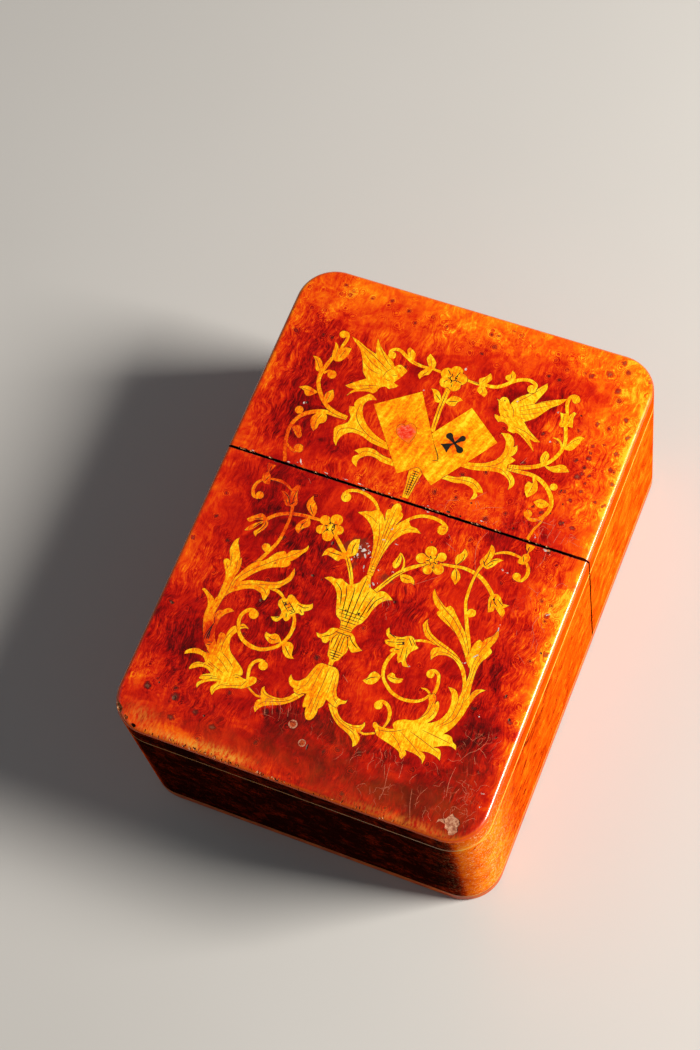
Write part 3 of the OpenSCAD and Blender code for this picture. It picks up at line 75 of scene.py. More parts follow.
class Shader:
    """One material and the short calls that wire its nodes."""

    def __init__(self, name):
        self.material = bpy.data.materials.new(name)
        self.material.use_nodes = True
        self.tree = self.material.node_tree
        self.tree.nodes.clear()
        output = self.node("OutputMaterial")
        self.surface = self.node("BsdfPrincipled")
        self.tree.links.new(self.surface.outputs["BSDF"], output.inputs["Surface"])
        coordinates = self.node("TexCoord")
        self.point = self.vector("SCALE", coordinates.outputs["Object"], scale=1 / MM)
        self.normal = coordinates.outputs["Normal"]
        self.colour = None

    def node(self, kind, **settings):
        made = self.tree.nodes.new("ShaderNode" + kind)
        for key, value in settings.items():
            setattr(made, key, value)
        return made

    def put(self, socket, value):
        """Links or sets the socket. A colour is given as red, green and blue of 0 to 255."""
        if isinstance(value, bpy.types.NodeSocket):
            self.tree.links.new(value, socket)
        elif socket.type == "RGBA":
            socket.default_value = linear(*value)
        else:
            socket.default_value = value

    def set(self, **values):
        """Sets the surface's own sockets, named with _ for each space."""
        for key, value in values.items():
            self.put(self.surface.inputs[key.replace("_", " ")], value)

    def maths(self, operation, *values, clamp=False):
        made = self.node("Math", operation=operation, use_clamp=clamp)
        for socket, value in zip(made.inputs, values):
            self.put(socket, value)
        return made.outputs[0]

    def times(self, first, second):
        return self.maths("MULTIPLY", first, second)

    def swayed(self, level, drift, reach, clamp=False):
        """The level moved by a drift of 0 to 1, at most by half of reach down or up."""
        return self.maths("MULTIPLY_ADD", self.maths("SUBTRACT", drift, 0.5), reach, level, clamp=clamp)

    def parts(self, point):
        """The X, Y and Z of a point or a direction."""
        made = self.node("SeparateXYZ")
        self.put(made.inputs[0], point)
        return made.outputs

    def joined(self, *numbers):
        """The point with these numbers for its X, Y and Z."""
        made = self.node("CombineXYZ")
        for socket, number in zip(made.inputs, numbers):
            self.put(socket, number)
        return made.outputs[0]

    def vector(self, operation, *values, scale=None):
        made = self.node("VectorMath", operation=operation)
        for socket, value in zip(made.inputs, values):
            self.put(socket, value)
        if scale is not None:
            self.put(made.inputs["Scale"], scale)
        plain = ("DOT_PRODUCT", "LENGTH", "DISTANCE")
        return made.outputs["Value" if operation in plain else "Vector"]

    def noise(self, point, scale, detail=2.0, roughness=0.5, distortion=0.0, colour=False):
        made = self.node("TexNoise")
        for key, value in (("Vector", point), ("Scale", scale), ("Detail", detail),
                           ("Roughness", roughness), ("Distortion", distortion)):
            self.put(made.inputs[key], value)
        return made.outputs["Color" if colour else "Fac"]

    def cells(self, point, scale, feature="F1"):
        made = self.node("TexVoronoi", feature=feature)
        self.put(made.inputs["Vector"], point)
        self.put(made.inputs["Scale"], scale)
        return made

    def step(self, value, low, high, start=0.0, end=1.0):
        """Smoothly from start at low to end at high."""
        made = self.node("MapRange", interpolation_type="SMOOTHSTEP")
        for socket, number in zip(made.inputs, (value, low, high, start, end)):
            self.put(socket, number)
        return made.outputs[0]

    def mix(self, share, first, second):
        made = self.node("Mix", data_type="RGBA")
        made.clamp_factor = True
        self.put(made.inputs["Factor"], share)
        colours = [socket for socket in made.inputs if socket.type == "RGBA"]
        self.put(colours[0], first)
        self.put(colours[1], second)
        return next(socket for socket in made.outputs if socket.type == "RGBA")

    def lay(self, tint, *shares):
        """Lays a tint over the colour so far, as strongly as the product of the shares says."""
        share = shares[0] if len(shares) == 1 else self.times(*shares)
        self.colour = self.mix(share, self.colour, tint)

    def ramp(self, value, stops):
        """The colour of a value between stops, each of them its place and red, green and blue."""
        made = self.node("ValToRGB")
        points = made.color_ramp.elements
        while len(points) < len(stops):
            points.new(0.5)
        for point, (place, *colour) in zip(points, stops):
            point.position = place
            point.color = linear(*colour)
        self.put(made.inputs["Fac"], value)
        return made.outputs["Color"]

    def warped(self, point, scale, reach, detail=2.0):
        """The point moved by up to about half of reach, as slow noise says."""
        drift = self.vector("SUBTRACT", self.noise(point, scale, detail, colour=True), (0.5, 0.5, 0.5))
        return self.vector("ADD", point, self.vector("SCALE", drift, scale=reach))

    def field(self, point, level, patches):
        """A level with soft oval patches [x, y, half width, half length, change] added, in mm."""
        total = level
        for x, y, wide, long, change in patches:
            offset = self.vector("MULTIPLY_ADD", point, (1 / wide, 1 / long, 0.0),
                                 (-x / wide, -y / long, 0.0))
            share = self.maths("POWER", math.exp(-1), self.vector("DOT_PRODUCT", offset, offset))
            total = self.maths("MULTIPLY_ADD", share, change, total)
        return total

    def bump(self, height, distance):
        """Makes the surface look uneven by up to distance, in mm."""
        made = self.node("Bump")
        self.put(made.inputs["Height"], height)
        self.put(made.inputs["Distance"], distance * MM)
        self.put(self.surface.inputs["Normal"], made.outputs["Normal"])


# Tones of the burr, from its darkest figure to its brightest
BURR_TONES = [(0.0, 62, 0, 0), (0.16, 112, 1, 0), (0.34, 172, 7, 0), (0.52, 214, 36, 0),
              (0.7, 240, 82, 0), (0.86, 253, 126, 0), (1.0, 255, 190, 30)]

# The same for the sides, which are more orange
SIDE_TONES = [(0.0, 34, 6, 3), (0.2, 104, 24, 4), (0.4, 176, 48, 4), (0.6, 226, 84, 6),
              (0.8, 250, 118, 14), (1.0, 255, 162, 40)]

# Colours that lie over the burr
EYE_BROWN = (84, 42, 30)
EYE_CORE = (140, 96, 70)
SPECK = (46, 8, 6)
CRAZED_LACQUER = (206, 104, 64)
RUBBED_WOOD = (234, 154, 52)
SEAM_DIRT = (20, 7, 5)
# Painted glow on the rounded rim beside the edge's highlight
RIM_PAINTED_GLOW = (240, 110, 10)
STEEP_EDGE = (206, 70, 0)
OLD_POLISH = (158, 50, 8)
BARE_BURR = (112, 40, 22)
BAND_ORANGE = (196, 62, 0)
# Painted glint along the light line on the right side
LINE_PAINTED_GLINT = (255, 186, 40)
CORNER_FLECK = (240, 184, 130)

# Light and dark patches of the base's ground, [x, y, half width, half length, change]
BASE_PATCHES = [
    [29.4, -18.5, 1.7, 1.7, -0.26], [34, 2.7, 1.8, 1.8, -0.16], [-31.6, -43, 1.8, 1.8, -0.24],
    [33, -3, 4, 10, 0.2], [-33, -42, 5, 5, 0.14], [15, -41, 8, 5, -0.14], [-20, -46, 6, 3, 0.08],
    [-37, 2, 6, 10, 0.26], [-36, -13, 4, 6, 0.34], [-34, -21, 4, 4, 0.14], [-32, -42, 6, 5, 0.14],
    [-22, -44, 9, 4, -0.06], [-31, -44, 4, 4, -0.1], [-29.5, -32, 5, 5, -0.34],
    [-37, -28, 3, 5, -0.2], [6, -46, 12, 4, -0.12], [-22, -3, 9, 8, -0.18], [-12, -12, 6, 10, -0.18],
    [-15, -23, 5, 5, -0.16],
    [-6, -17, 4, 7, -0.06], [-24, 6, 5, 3, -0.1], [7, -12, 4, 6, -0.1], [12, -25, 4, 3, -0.1],
    [29, -31, 4, 9, -0.34], [28, -14, 2.5, 7, -0.02], [22, 7, 5, 3, -0.16], [7, -32, 5, 4, 0.1],
    [20, -43.5, 6, 2.5, 0.22], [-3, -42, 7, 5, -0.24], [5, -39, 6, 2, -0.14], [36, 0, 5, 13, 0.17],
    [35.5, -20, 4.5, 12, 0.14], [-22, -50.5, 12, 1.8, 0.34],
    [27, -45, 8, 6, -0.26], [16, 3, 5, 4, 0.04], [-35, 4, 5, 4, -0.12],
    [-30, -40, 3, 3, -0.24], [-22, -46, 4, 3, -0.08], [3, -47, 5, 3, -0.14], [20, -47, 5, 2.5, -0.24],
    [12, -47, 4, 3, -0.06], [33, -30, 3, 4, -0.12], [34, -12, 3, 4, -0.14], [-34, -20, 3, 3, -0.14],
    [-35, -10, 3, 4, -0.2], [-33, 0, 3, 3, -0.06], [-33, -30, 2, 3, 0.08],
    [0, 5, 5, 3, 0.1], [-20, 1, 7, 5, -0.1], [-32, -8, 4, 8, -0.06], [-23, -18, 5, 3, -0.1],
    [5, -18, 6, 3, -0.12], [26, -20, 3, 4, -0.1], [-8, -28, 8, 5, -0.1], [1, -36, 5, 3, -0.14],
    [-22, -36, 6, 3, -0.1], [25.5, -37, 3, 3, 0.14], [20, -42, 4, 3, -0.1], [-18, -48, 5, 2, -0.08],
]

# The same for the lid
LID_PATCHES = [
    [0, 50, 60, 7, 0.34], [36, 30, 7, 26, 0.28], [33, 30, 5, 8, 0.1], [31, 40, 6, 5, 0.14],
    [28, 16, 6, 5, 0.1],
    [-38, 26, 4, 24, 0.24], [-26, 32, 6, 8, -0.14], [-33, 12, 4, 4, 0.06], [-24, 12, 8, 3, 0.02],
    [30, 12, 6, 4, -0.16],
    [-19, 33, 3, 4, -0.16], [19, 37, 5, 4, -0.36], [10, 38, 6, 3, -0.14], [-8, 36, 4, 3, -0.16],
    [-27, 20, 6, 6, -0.2], [-16, 15, 4, 2.5, -0.2], [14, 33, 4, 4, -0.14], [-21, 19, 4, 5, -0.12],
    [-30, 11, 7, 4, 0.1], [-10, 11, 9, 3, 0.12], [9, 11, 8, 3, 0.12], [15, 13, 6, 4, 0.1],
    [24, 31, 4, 6, 0.12], [-31, 46, 8, 5, 0.1], [18, 45, 4, 3, -0.06], [-6, 46, 16, 4, 0.08],
    [22, 11, 4, 3, -0.1],
    [0, 46, 9, 4, -0.12], [-14, 47, 6, 4, -0.12], [-28, 46, 5, 4, -0.06], [33, 26, 3, 5, -0.2],
    [33, 14, 3, 4, 0.1], [-20, 12, 4, 3, -0.1], [-33, 38, 3, 5, -0.05], [-13, 23, 3, 3, 0.12],
    [23, 36, 6, 4, 0.16], [-18, 42, 7, 3, 0.1], [-4, 34, 8, 4, 0.08], [26, 42, 9, 3, -0.08],
    [8, 48, 4, 2.5, -0.1], [-33, 48, 5, 3, -0.12], [23, 25, 6, 8, -0.08], [-29, 25, 6, 8, -0.08],
    [-28, 13, 5, 5, -0.18],
]

# Where burr eyes crowd, as patches
BASE_EYES = [[-28, -43, 8, 5, 0.3], [34, -16, 4, 14, 0.3], [30, 2, 5, 5, 0.2], [5, -45, 8, 4, 0.2]]
LID_EYES = [[29, 24, 8, 14, 0.3], [8, 46.5, 30, 3.5, 0.7], [-30, 42, 8, 8, 0.5], [12, 11.5, 12, 3, 0.4]]

# Where the lacquer has crazed and scratched most
BASE_CRAZING = [[30, -44, 9, 7, 0.9], [32, -33, 4, 6, 0.9], [-7, -40, 5, 4, 0.6], [14, -45, 12, 4, 0.6],
                [31, -6, 5, 9, 0.5], [5, -13, 5, 5, 0.4]]
LID_CRAZING = [[27, 12, 6, 5, 0.8], [10, 12, 8, 3, 0.3]]

# Burr eyes that stand out singly, [x, y, size]
BASE_WHORLS = [
    [-26.2, -43.1, 1.1], [-32.1, -42.9, 1.0], [-25.3, -47.2, 0.8], [-21.4, -44.7, 0.8],
    [-17.2, -46.3, 0.9], [-34.5, -25.9, 0.6],
    [33.8, -4.7, 0.7], [36.3, -12.0, 0.8], [32.2, -22.3, 0.6],
    [34.6, -26.6, 0.7], [-36.1, -12.1, 0.6], [-8.9, -40.2, 0.9],
]
LID_WHORLS = [
    [29.3, 35.9, 0.7], [34.3, 38.5, 0.8], [35.8, 35.0, 0.8], [32.0, 32.1, 0.5], [30.1, 31.2, 0.6],
    [34.9, 31.1, 0.8], [30.2, 29.7, 0.6], [30.2, 28.5, 0.7], [28.0, 27.3, 0.6], [34.9, 27.5, 0.7],
    [30.1, 24.9, 0.7], [31.6, 25.0, 0.5], [29.5, 24.1, 1.0], [36.3, 24.8, 0.6], [31.3, 23.3, 0.5],
    [31.2, 21.4, 0.7], [29.9, 50.1, 0.8], [28.0, 46.9, 1.0], [24.8, 45.4, 0.8], [30.7, 43.9, 1.0],
    [35.9, 47.8, 0.7], [20.1, 30.7, 0.6], [26.3, 33.3, 0.6], [18.6, 23.5, 0.6], [29.8, 19.0, 0.6],
    [25.5, 14.9, 0.7], [28.3, 20.3, 0.5], [29.8, 14.0, 0.7], [32.2, 13.7, 0.6], [34.4, 20.2, 0.6],
    [36.1, 19.9, 0.5],
]

# Where the old polish of the near end has turned brown
BROWN_VEIL = [[14, -47, 22, 4, 0.6], [31, -42, 5, 8, 0.35], [-18, -48, 14, 2.5, 0.35],
              [6, -40, 8, 4, 0.25]]

# Where the threads of the figure are calmer, towards the box's two ends
CALM_ENDS = [[0, -49, 40, 7, -0.4], [0, 51, 40, 7, -0.5]]

# Where the near edge is rubbed down to pale wood
NEAR_WEAR = [[-13.5, -50.4, 5, 1.1, 1.3], [-22, -50.9, 7, 1, 1.0], [-31, -48.6, 3, 1.6, 0.5],
             [24, -51, 12, 1.2, 0.5]]

# The round plugs' ends, [x, y, radius]
PLUGS = [[-3.1, -40.6, 0.88], [-0.1, -43.4, 0.75]]

# Painted light: a bright strip along the right edge of each half, beside the edge's highlight
EDGE_PAINTED_LIGHT = [[37.6, -20, 2.1, 34, 0.42], [37.6, 28, 1.8, 24, 0.2]]

# Where the lacquer has come off and the burr lies dull and brown
BARE_PATCHES = [[-5, -3.4, 2.4, 2.6, 1.0], [2.6, -7.6, 1.8, 1.4, 0.8], [-8, -4.4, 2, 1.2, 0.5],
                [-4.6, -8, 1.4, 1.6, 0.5], [1.4, 0.4, 1.2, 1, 0.4]]

# Where the sides are brighter with painted light, along the right and at the right near corner, where they
# are more streaked, and where their lacquer is flecked
SIDE_PAINTED_LIGHT = [[SIDE, 20, 6, 40, 0.12], [36, -46, 7, 8, 0.3]]
SIDE_STREAKS = [[SIDE, -26, 12, 9, 0.12], [SIDE, -48, 8, 7, -0.1]]
SIDE_FLECKS = [[36, -46, 5, 7, 0.9], [-36, -48, 3, 3, 0.4]]

# How fine each figure is across, along and down the wood: the more, the finer
FIBRES = (1.5, 0.22, 1.2)
FINE_FIBRES = (5.0, 0.6, 4.0)
RUBBED_STREAKS = (2.4, 0.7, 1.0)
SIDE_VEINS = (0.5, 0.1, 0.6)
BOARD_GRAIN = (1.2, 0.16, 1.2)
PLATE_GRAIN = (0.3, 0.12, 0.9)

# How dull the polish is over the tops, the inlays and the heart
POLISH = 0.16


def groove_dirt(shader):
    """How much old dirt lies on a point: all of it at the seam, none a little way off."""
    uneven = shader.times(shader.noise(shader.point, 1.7, 3.0), 0.24)
    off = shader.maths("ABSOLUTE", shader.maths("SUBTRACT", shader.parts(shader.point)["Y"], SEAM))
    return shader.step(shader.maths("SUBTRACT", off, uneven), 0.12, 0.24, 1.0, 0.0)


def eyes_of(shader, spacing, share, size):
    """Small eyes, sizes in mm: the dark middle, the rings about it, and how far fibres bend round it."""
    spots = shader.cells(shader.warped(shader.point, 0.9, 0.8, 3.0), 1 / spacing)
    reach = shader.times(spots.outputs["Distance"], spacing)
    chosen = shader.node("SeparateColor")
    shader.put(chosen.inputs[0], spots.outputs["Color"])
    here = shader.maths("LESS_THAN", chosen.outputs[0], share)
    middle = shader.times(shader.step(reach, size * 0.2, size, 1.0, 0.0), here)
    ripple = shader.maths("SINE", shader.times(reach, 22.0))
    rings = shader.times(shader.times(ripple, here), shader.step(reach, size * 0.6, size * 3, 0.16, 0.0))
    bend = shader.times(shader.step(reach, 0.0, size * 4, 1.0, 0.0), here)
    return middle, rings, bend


# More than how far any place on the box lies from another, in sizes of a burr eye
FAR_OFF = 99.0


def nearest(shader, places, unevenness=0.9):
    """How far the nearest of the places [x, y, size] lies, in the size of each."""
    ragged = shader.warped(shader.warped(shader.point, 0.9, unevenness, 3.0), 2.2, unevenness, 2.0)
    level_point = shader.vector("MULTIPLY", ragged, (1, 1, 0))
    least = FAR_OFF
    for x, y, size in places:
        away = shader.maths("DIVIDE", shader.vector("DISTANCE", level_point, (x, y, 0.0)), size)
        least = shader.maths("MINIMUM", away, least)
    return least


def burr(shader, level, eyes, crazing, tones=BURR_TONES, gloss=0.5, whorls=(), worn_patches=()):
    """Colours a lacquered burr veneer: clouded figure, fibres, eyes with rings, crazing in the lacquer."""
    point = shader.point
    reach = nearest(shader, whorls)
    large, large_rings, large_bend = eyes_of(shader, spacing=3.9, share=shader.times(eyes, 0.7),
                                             size=0.85)
    small, small_rings, small_bend = eyes_of(shader, spacing=2.1, share=eyes, size=0.6)
    cloud = shader.noise(shader.warped(point, 0.11, 7.0), 0.2, 6.0, 0.6, 0.9)
    flow = shader.warped(point, 0.19, 3.6, 1.0)
    bends = shader.maths("ADD", large_bend, shader.times(small_bend, 0.5))
    aside = shader.joined(shader.maths("ADD", bends, shader.step(reach, 0.0, 3.0, 1.2, 0.0)))
    flow = shader.vector("ADD", flow, aside)
    fibre = shader.noise(shader.vector("MULTIPLY", flow, FIBRES), 1.0, 3.0, 0.6, 0.3)
    fine = shader.noise(shader.vector("MULTIPLY", flow, FINE_FIBRES), 1.0, 3.0, 0.7, 0.3)
    mottle = shader.noise(shader.warped(point, 0.6, 1.6, 2.0), 0.62, 3.0, 0.6, 1.2)
    tone = shader.swayed(level, cloud, 0.8)
    strong = shader.step(shader.noise(point, 0.13, 2.0), 0.36, 0.62, 0.3, 0.95)
    strong = shader.times(strong, shader.field(point, 1.0, CALM_ENDS))
    threads = shader.maths("SUBTRACT", shader.maths("ADD", fibre, fine), 1.0)
    tone = shader.maths("MULTIPLY_ADD", threads, strong, tone)
    tone = shader.swayed(tone, mottle, shader.maths("MULTIPLY_ADD", eyes, 0.6, 0.15))
    tone = shader.maths("ADD", tone, shader.maths("ADD", large_rings, small_rings))
    whorl_rings = shader.times(shader.maths("SINE", shader.times(reach, 7.5)),
                               shader.step(reach, 0.6, 2.6, 0.07, 0.0))
    tone = shader.maths("ADD", tone, whorl_rings)
    dark = shader.maths("MAXIMUM", shader.maths("MAXIMUM", large, small),
                        shader.step(reach, 0.25, 0.9, 1.0, 0.0))
    tone = shader.maths("MULTIPLY_ADD", dark, -0.26, tone, clamp=True)
    shader.colour = shader.ramp(tone, tones)
    shader.lay(EYE_BROWN, dark, 0.48)
    shader.lay(EYE_CORE, shader.step(reach, 0.1, 0.34, 0.45, 0.0))
    shader.lay(SPECK, shader.step(shader.noise(point, 2.1, 2.0, 0.6), 0.7, 0.76), 0.5)
    crack_point = shader.vector("MULTIPLY", shader.warped(point, 0.45, 2.6, 3.0), (1.0, 0.5, 1.0))
    edges = shader.cells(crack_point, 0.42, "DISTANCE_TO_EDGE").outputs["Distance"]
    breaks = shader.step(shader.noise(point, 0.33, 3.0), 0.42, 0.62)
    crack = shader.times(shader.step(edges, 0.004, 0.022, 1.0, 0.0),
                         shader.maths("MULTIPLY", breaks, crazing, clamp=True))
    shader.lay(CRAZED_LACQUER, crack, 0.4)
    streaks = shader.vector("MULTIPLY", shader.warped(point, 0.5, 1.0), RUBBED_STREAKS)
    rubbed = shader.step(shader.noise(streaks, 1.0, 4.0, 0.7), 0.36, 0.66)
    shader.lay(RUBBED_WOOD, shader.field(point, 0.0, worn_patches), rubbed)
    shader.lay(SEAM_DIRT, groove_dirt(shader))
    sheen = shader.step(shader.noise(point, 0.4, 4.0, 0.6), 0.3, 0.75, 0.22, 0.36)
    shader.set(Roughness=shader.maths("MULTIPLY_ADD", crack, 0.3, sheen), Coat_Weight=gloss,
               Coat_Roughness=POLISH, Specular_IOR_Level=gloss / 2)
    wave = shader.noise(point, 0.16, 2.0)
    grain = shader.maths("MULTIPLY_ADD", fibre, 0.05, wave)
    shader.bump(shader.maths("MULTIPLY_ADD", crack, -0.05, grain), 0.25)


def burr_top(name, patches, eyes, whorls, crazing, level, brown_veil=()):
    """Burr of a top: its clouds as placed, with painted light along the right edge and on the rounded rim
    beside the edge's highlight.
    """
    shader = Shader(name)
    drifting = shader.warped(shader.point, 0.16, 6.0, 3.0)
    # The level takes painted light along the right edge, beside the edge's highlight
    level = shader.field(shader.point, shader.field(drifting, level, patches), EDGE_PAINTED_LIGHT)
    burr(shader, level, shader.field(shader.point, 0.06, eyes), shader.field(shader.point, 0.04, crazing),
         whorls=whorls, worn_patches=NEAR_WEAR)
    # Painted light: the near-flat rim turns bright orange beside the edge's highlight
    upward = shader.parts(shader.normal)["Z"]
    shader.lay(RIM_PAINTED_GLOW, shader.step(upward, 0.8, 0.995, 0.5, 0.0))
    shader.lay(STEEP_EDGE, shader.step(upward, 0.6, 0.82, 0.9, 0.0))
    uneven = shader.step(shader.noise(shader.point, 0.3, 3.0), 0.3, 0.65, 0.4, 1.0)
    shader.lay(OLD_POLISH, shader.field(drifting, 0.0, brown_veil), uneven)
    bare = shader.field(shader.point, 0.0, BARE_PATCHES)
    ragged = shader.maths("MULTIPLY_ADD", shader.noise(shader.point, 0.8, 4.0, 0.7), 1.4, bare)
    shader.lay(BARE_BURR, shader.step(ragged, 1.05, 1.35, 0.0, 0.75))
    shader.set(Base_Color=shader.colour)
    return shader.material


def burr_side(name, level):
    """Burr of the sides: painted light brightens it along the right and at the right near corner, painted
    shade darkens the near end, and it is veined along the length.
    """
    shader = Shader(name)
    point = shader.warped(shader.point, 0.2, 4.0)
    # Painted shade: the faces that look along the near end are darker
    near_end_shade = shader.step(shader.parts(shader.normal)["Y"], -0.99, -0.88, 0.5, 0.0)
    # Painted light brightens the right side and its near corner
    level = shader.maths("SUBTRACT", shader.field(point, level, SIDE_PAINTED_LIGHT), near_end_shade)
    lengthwise = shader.vector("MULTIPLY", shader.warped(shader.point, 0.12, 6.0), SIDE_VEINS)
    vein = shader.step(shader.noise(lengthwise, 1.0, 4.0, 0.6, 0.6), 0.46, 0.66)
    streaked = shader.times(vein, shader.field(shader.point, 0.1, SIDE_STREAKS))
    level = shader.maths("SUBTRACT", level, streaked)
    burr(shader, level, eyes=0.1, crazing=0.15, tones=SIDE_TONES, gloss=0.0)
    place = shader.parts(shader.point)
    right = shader.step(place["X"], SIDE - 6, SIDE - 0.5)
    above = shader.step(place["Z"], LINE_Z + 0.7, LINE_Z + 1.6)
    shader.lay(BAND_ORANGE, shader.times(above, right), 0.62)
    # Painted glint: the burr next to the light line turns golden along the right side
    off = shader.maths("ABSOLUTE", shader.maths("SUBTRACT", place["Z"], LINE_Z))
    shader.lay(LINE_PAINTED_GLINT, shader.step(off, 0.25, 0.6, 0.6, 0.0), right)
    flecks = shader.step(shader.noise(shader.point, 1.9, 4.0, 0.75), 0.54, 0.62)
    shader.lay(CORNER_FLECK, shader.field(shader.point, 0.0, SIDE_FLECKS), flecks)
    shader.set(Base_Color=shader.colour)
    return shader.material


# Tones of the pale inlaid wood, from burnt orange to its brightest yellow
INLAY_TONES = [(0.0, 200, 38, 0), (0.25, 234, 76, 0), (0.5, 248, 130, 0), (0.75, 255, 176, 0),
               (1.0, 255, 222, 36)]

# Its small dark flecks
INLAY_FLECK = (150, 52, 0)

# Redder and brighter patches of the inlaid wood
INLAY_PATCHES = [
    [-27, 14, 5, 8, -0.46], [-22, 1, 7, 7, -0.6], [-14, -39, 3, 2, -0.2], [-25, 28, 5, 10, -0.16],
    [-28, 7, 4, 3, -0.3], [20, -34, 8, 5, 0.1], [24, 12, 4, 6, -0.12], [-1, -14, 6, 6, 0.1],
    [26, -12, 3, 4, -0.16], [-25.2, -29, 2.2, 3.6, -0.8], [-25, -16, 8, 8, -0.16],
    [14, 36, 6, 5, 0.14], [-18, -36, 4, 2.6, 0.1],
    [25, 10, 3, 4, -0.2], [4.4, 23, 2.4, 2.4, -0.34], [-5.6, 22.2, 2.4, 2.6, -0.26],
]


def inlay_wood(name, turn, level=0.72, grain_share=0.75, streaks=0.6):
    """Pale inlaid wood whose grain runs turn degrees from the box's length."""
    shader = Shader(name)
    point = shader.point
    level = shader.field(point, level, INLAY_PATCHES)
    a = math.radians(turn)
    bent = shader.warped(point, 0.2, 1.6)
    across = shader.vector("DOT_PRODUCT", bent, (math.cos(a), math.sin(a), 0.0))
    along = shader.vector("DOT_PRODUCT", bent, (-math.sin(a), math.cos(a), 0.0))
    stretched = shader.joined(shader.times(across, 3.4), shader.times(along, 0.5))
    lines = shader.noise(stretched, 1.0, 5.0, 0.7)
    cloud = shader.noise(point, 0.28, 3.0)
    stipple = shader.noise(point, 1.5, 3.0, 0.75)
    broad = shader.noise(shader.vector("MULTIPLY", stretched, (0.24, 0.24, 1.0)), 1.0, 2.0)
    tone = shader.swayed(level, lines, grain_share * 2)
    tone = shader.swayed(tone, cloud, 0.6)
    tone = shader.swayed(tone, stipple, 1.1)
    tone = shader.swayed(tone, broad, streaks, clamp=True)
    shader.colour = shader.ramp(tone, INLAY_TONES)
    shader.lay(INLAY_FLECK, shader.step(shader.noise(stretched, 2.3, 2.0), 0.68, 0.74), 0.5)
    shader.set(Base_Color=shader.colour, Coat_Weight=0.4, Coat_Roughness=POLISH, Specular_IOR_Level=0.25)
    shader.set(Roughness=shader.step(cloud, 0.3, 0.8, 0.22, 0.36))
    shader.bump(shader.maths("MULTIPLY_ADD", lines, 0.06, shader.noise(point, 0.2, 2.0)), 0.2)
    return shader.material


# The dark of the open pores in plain wood
PORE = (48, 29, 16)


def plain_wood(name, dark, light, grain_scale, roughness):
    """Straight-grained wood for the carcass, the sleeve and the bottom plates."""
    shader = Shader(name)
    stretched = shader.vector("MULTIPLY", shader.warped(shader.point, 0.1, 3.0), grain_scale)
    grain = shader.noise(stretched, 1.0, 5.0, 0.62)
    shader.colour = shader.mix(shader.step(grain, 0.28, 0.72), dark, light)
    shader.lay(PORE, shader.step(shader.noise(stretched, 3.1, 2.0), 0.66, 0.74), 0.4)
    shader.set(Base_Color=shader.colour, Roughness=shader.maths("MULTIPLY_ADD", grain, 0.2, roughness),
               Specular_IOR_Level=0.1)
    shader.bump(grain, 0.08)
    return shader.material


def stained(name, roughness, coat, *tones):
    """A small mottled surface: the black pip, ink, dirt, a flake, filler or broken wood."""
    shader = Shader(name)
    mottle = shader.noise(shader.point, 1.6, 4.0, 0.65)
    shader.set(Base_Color=shader.ramp(mottle, tones), Coat_Weight=coat, Coat_Roughness=0.12)
    shader.set(Roughness=shader.maths("MULTIPLY_ADD", mottle, 0.15, roughness))
    shader.bump(mottle, 0.05)
    return shader.material


def faded_red(name):
    """The heart's rubbed red stain: pinkish and worn through to the card, most of all at its edge."""
    shader = Shader(name)
    low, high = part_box("heart_pip")
    middle = (low + high) / 2 / MM
    offset = shader.vector("SUBTRACT", shader.point, (middle.x, middle.y, middle.z))
    mottle = shader.noise(shader.point, 1.5, 4.0, 0.7)
    red = shader.ramp(mottle, [(0.34, 226, 24, 4), (0.5, 244, 66, 30), (0.64, 240, 120, 92)])
    edge = shader.maths("MULTIPLY_ADD", mottle, -1.6, shader.vector("LENGTH", offset))
    worn = shader.step(edge, 0.4, 1.4)
    shader.set(Base_Color=shader.mix(worn, red, (248, 122, 0)), Roughness=0.3, Coat_Weight=0.4,
               Coat_Roughness=POLISH)
    return shader.material


def side_line(name):
    """The thin light line: bright along the right, darkened on the near end by painted shade."""
    shader = Shader(name)
    grain = shader.noise(shader.point, 0.5, 4.0, 0.6)
    colour = shader.mix(shader.step(grain, 0.3, 0.7), (236, 146, 14), (255, 202, 60))
    # Painted shade on the line's faces that look along the near end
    near = shader.step(shader.parts(shader.normal)["Y"], -0.98, -0.8, 0.8, 0.0)
    shader.set(Base_Color=shader.mix(near, colour, (110, 46, 10)), Roughness=0.4,
               Specular_IOR_Level=0.1)
    return shader.material


def plug_end(name):
    """End grain of the round plugs: rusty in the middle, with a pale broken ring of old glue."""
    shader = Shader(name)
    reach = nearest(shader, PLUGS, 0.5)
    mottle = shader.noise(shader.point, 2.4, 4.0, 0.7)
    rust = shader.ramp(mottle, [(0.35, 112, 22, 6), (0.6, 196, 74, 20)])
    ring = shader.step(shader.maths("MULTIPLY_ADD", mottle, 1.8, reach), 1.5, 1.8, 0.0, 0.75)
    shader.set(Base_Color=shader.mix(ring, rust, (196, 150, 118)), Roughness=0.4)
    shader.bump(mottle, 0.1)
    return shader.material


def dress(material, *names):
    """Gives the named nodes of the frame one material."""
    for name in names:
        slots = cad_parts[name].data.materials
        slots.clear()
        slots.append(material)


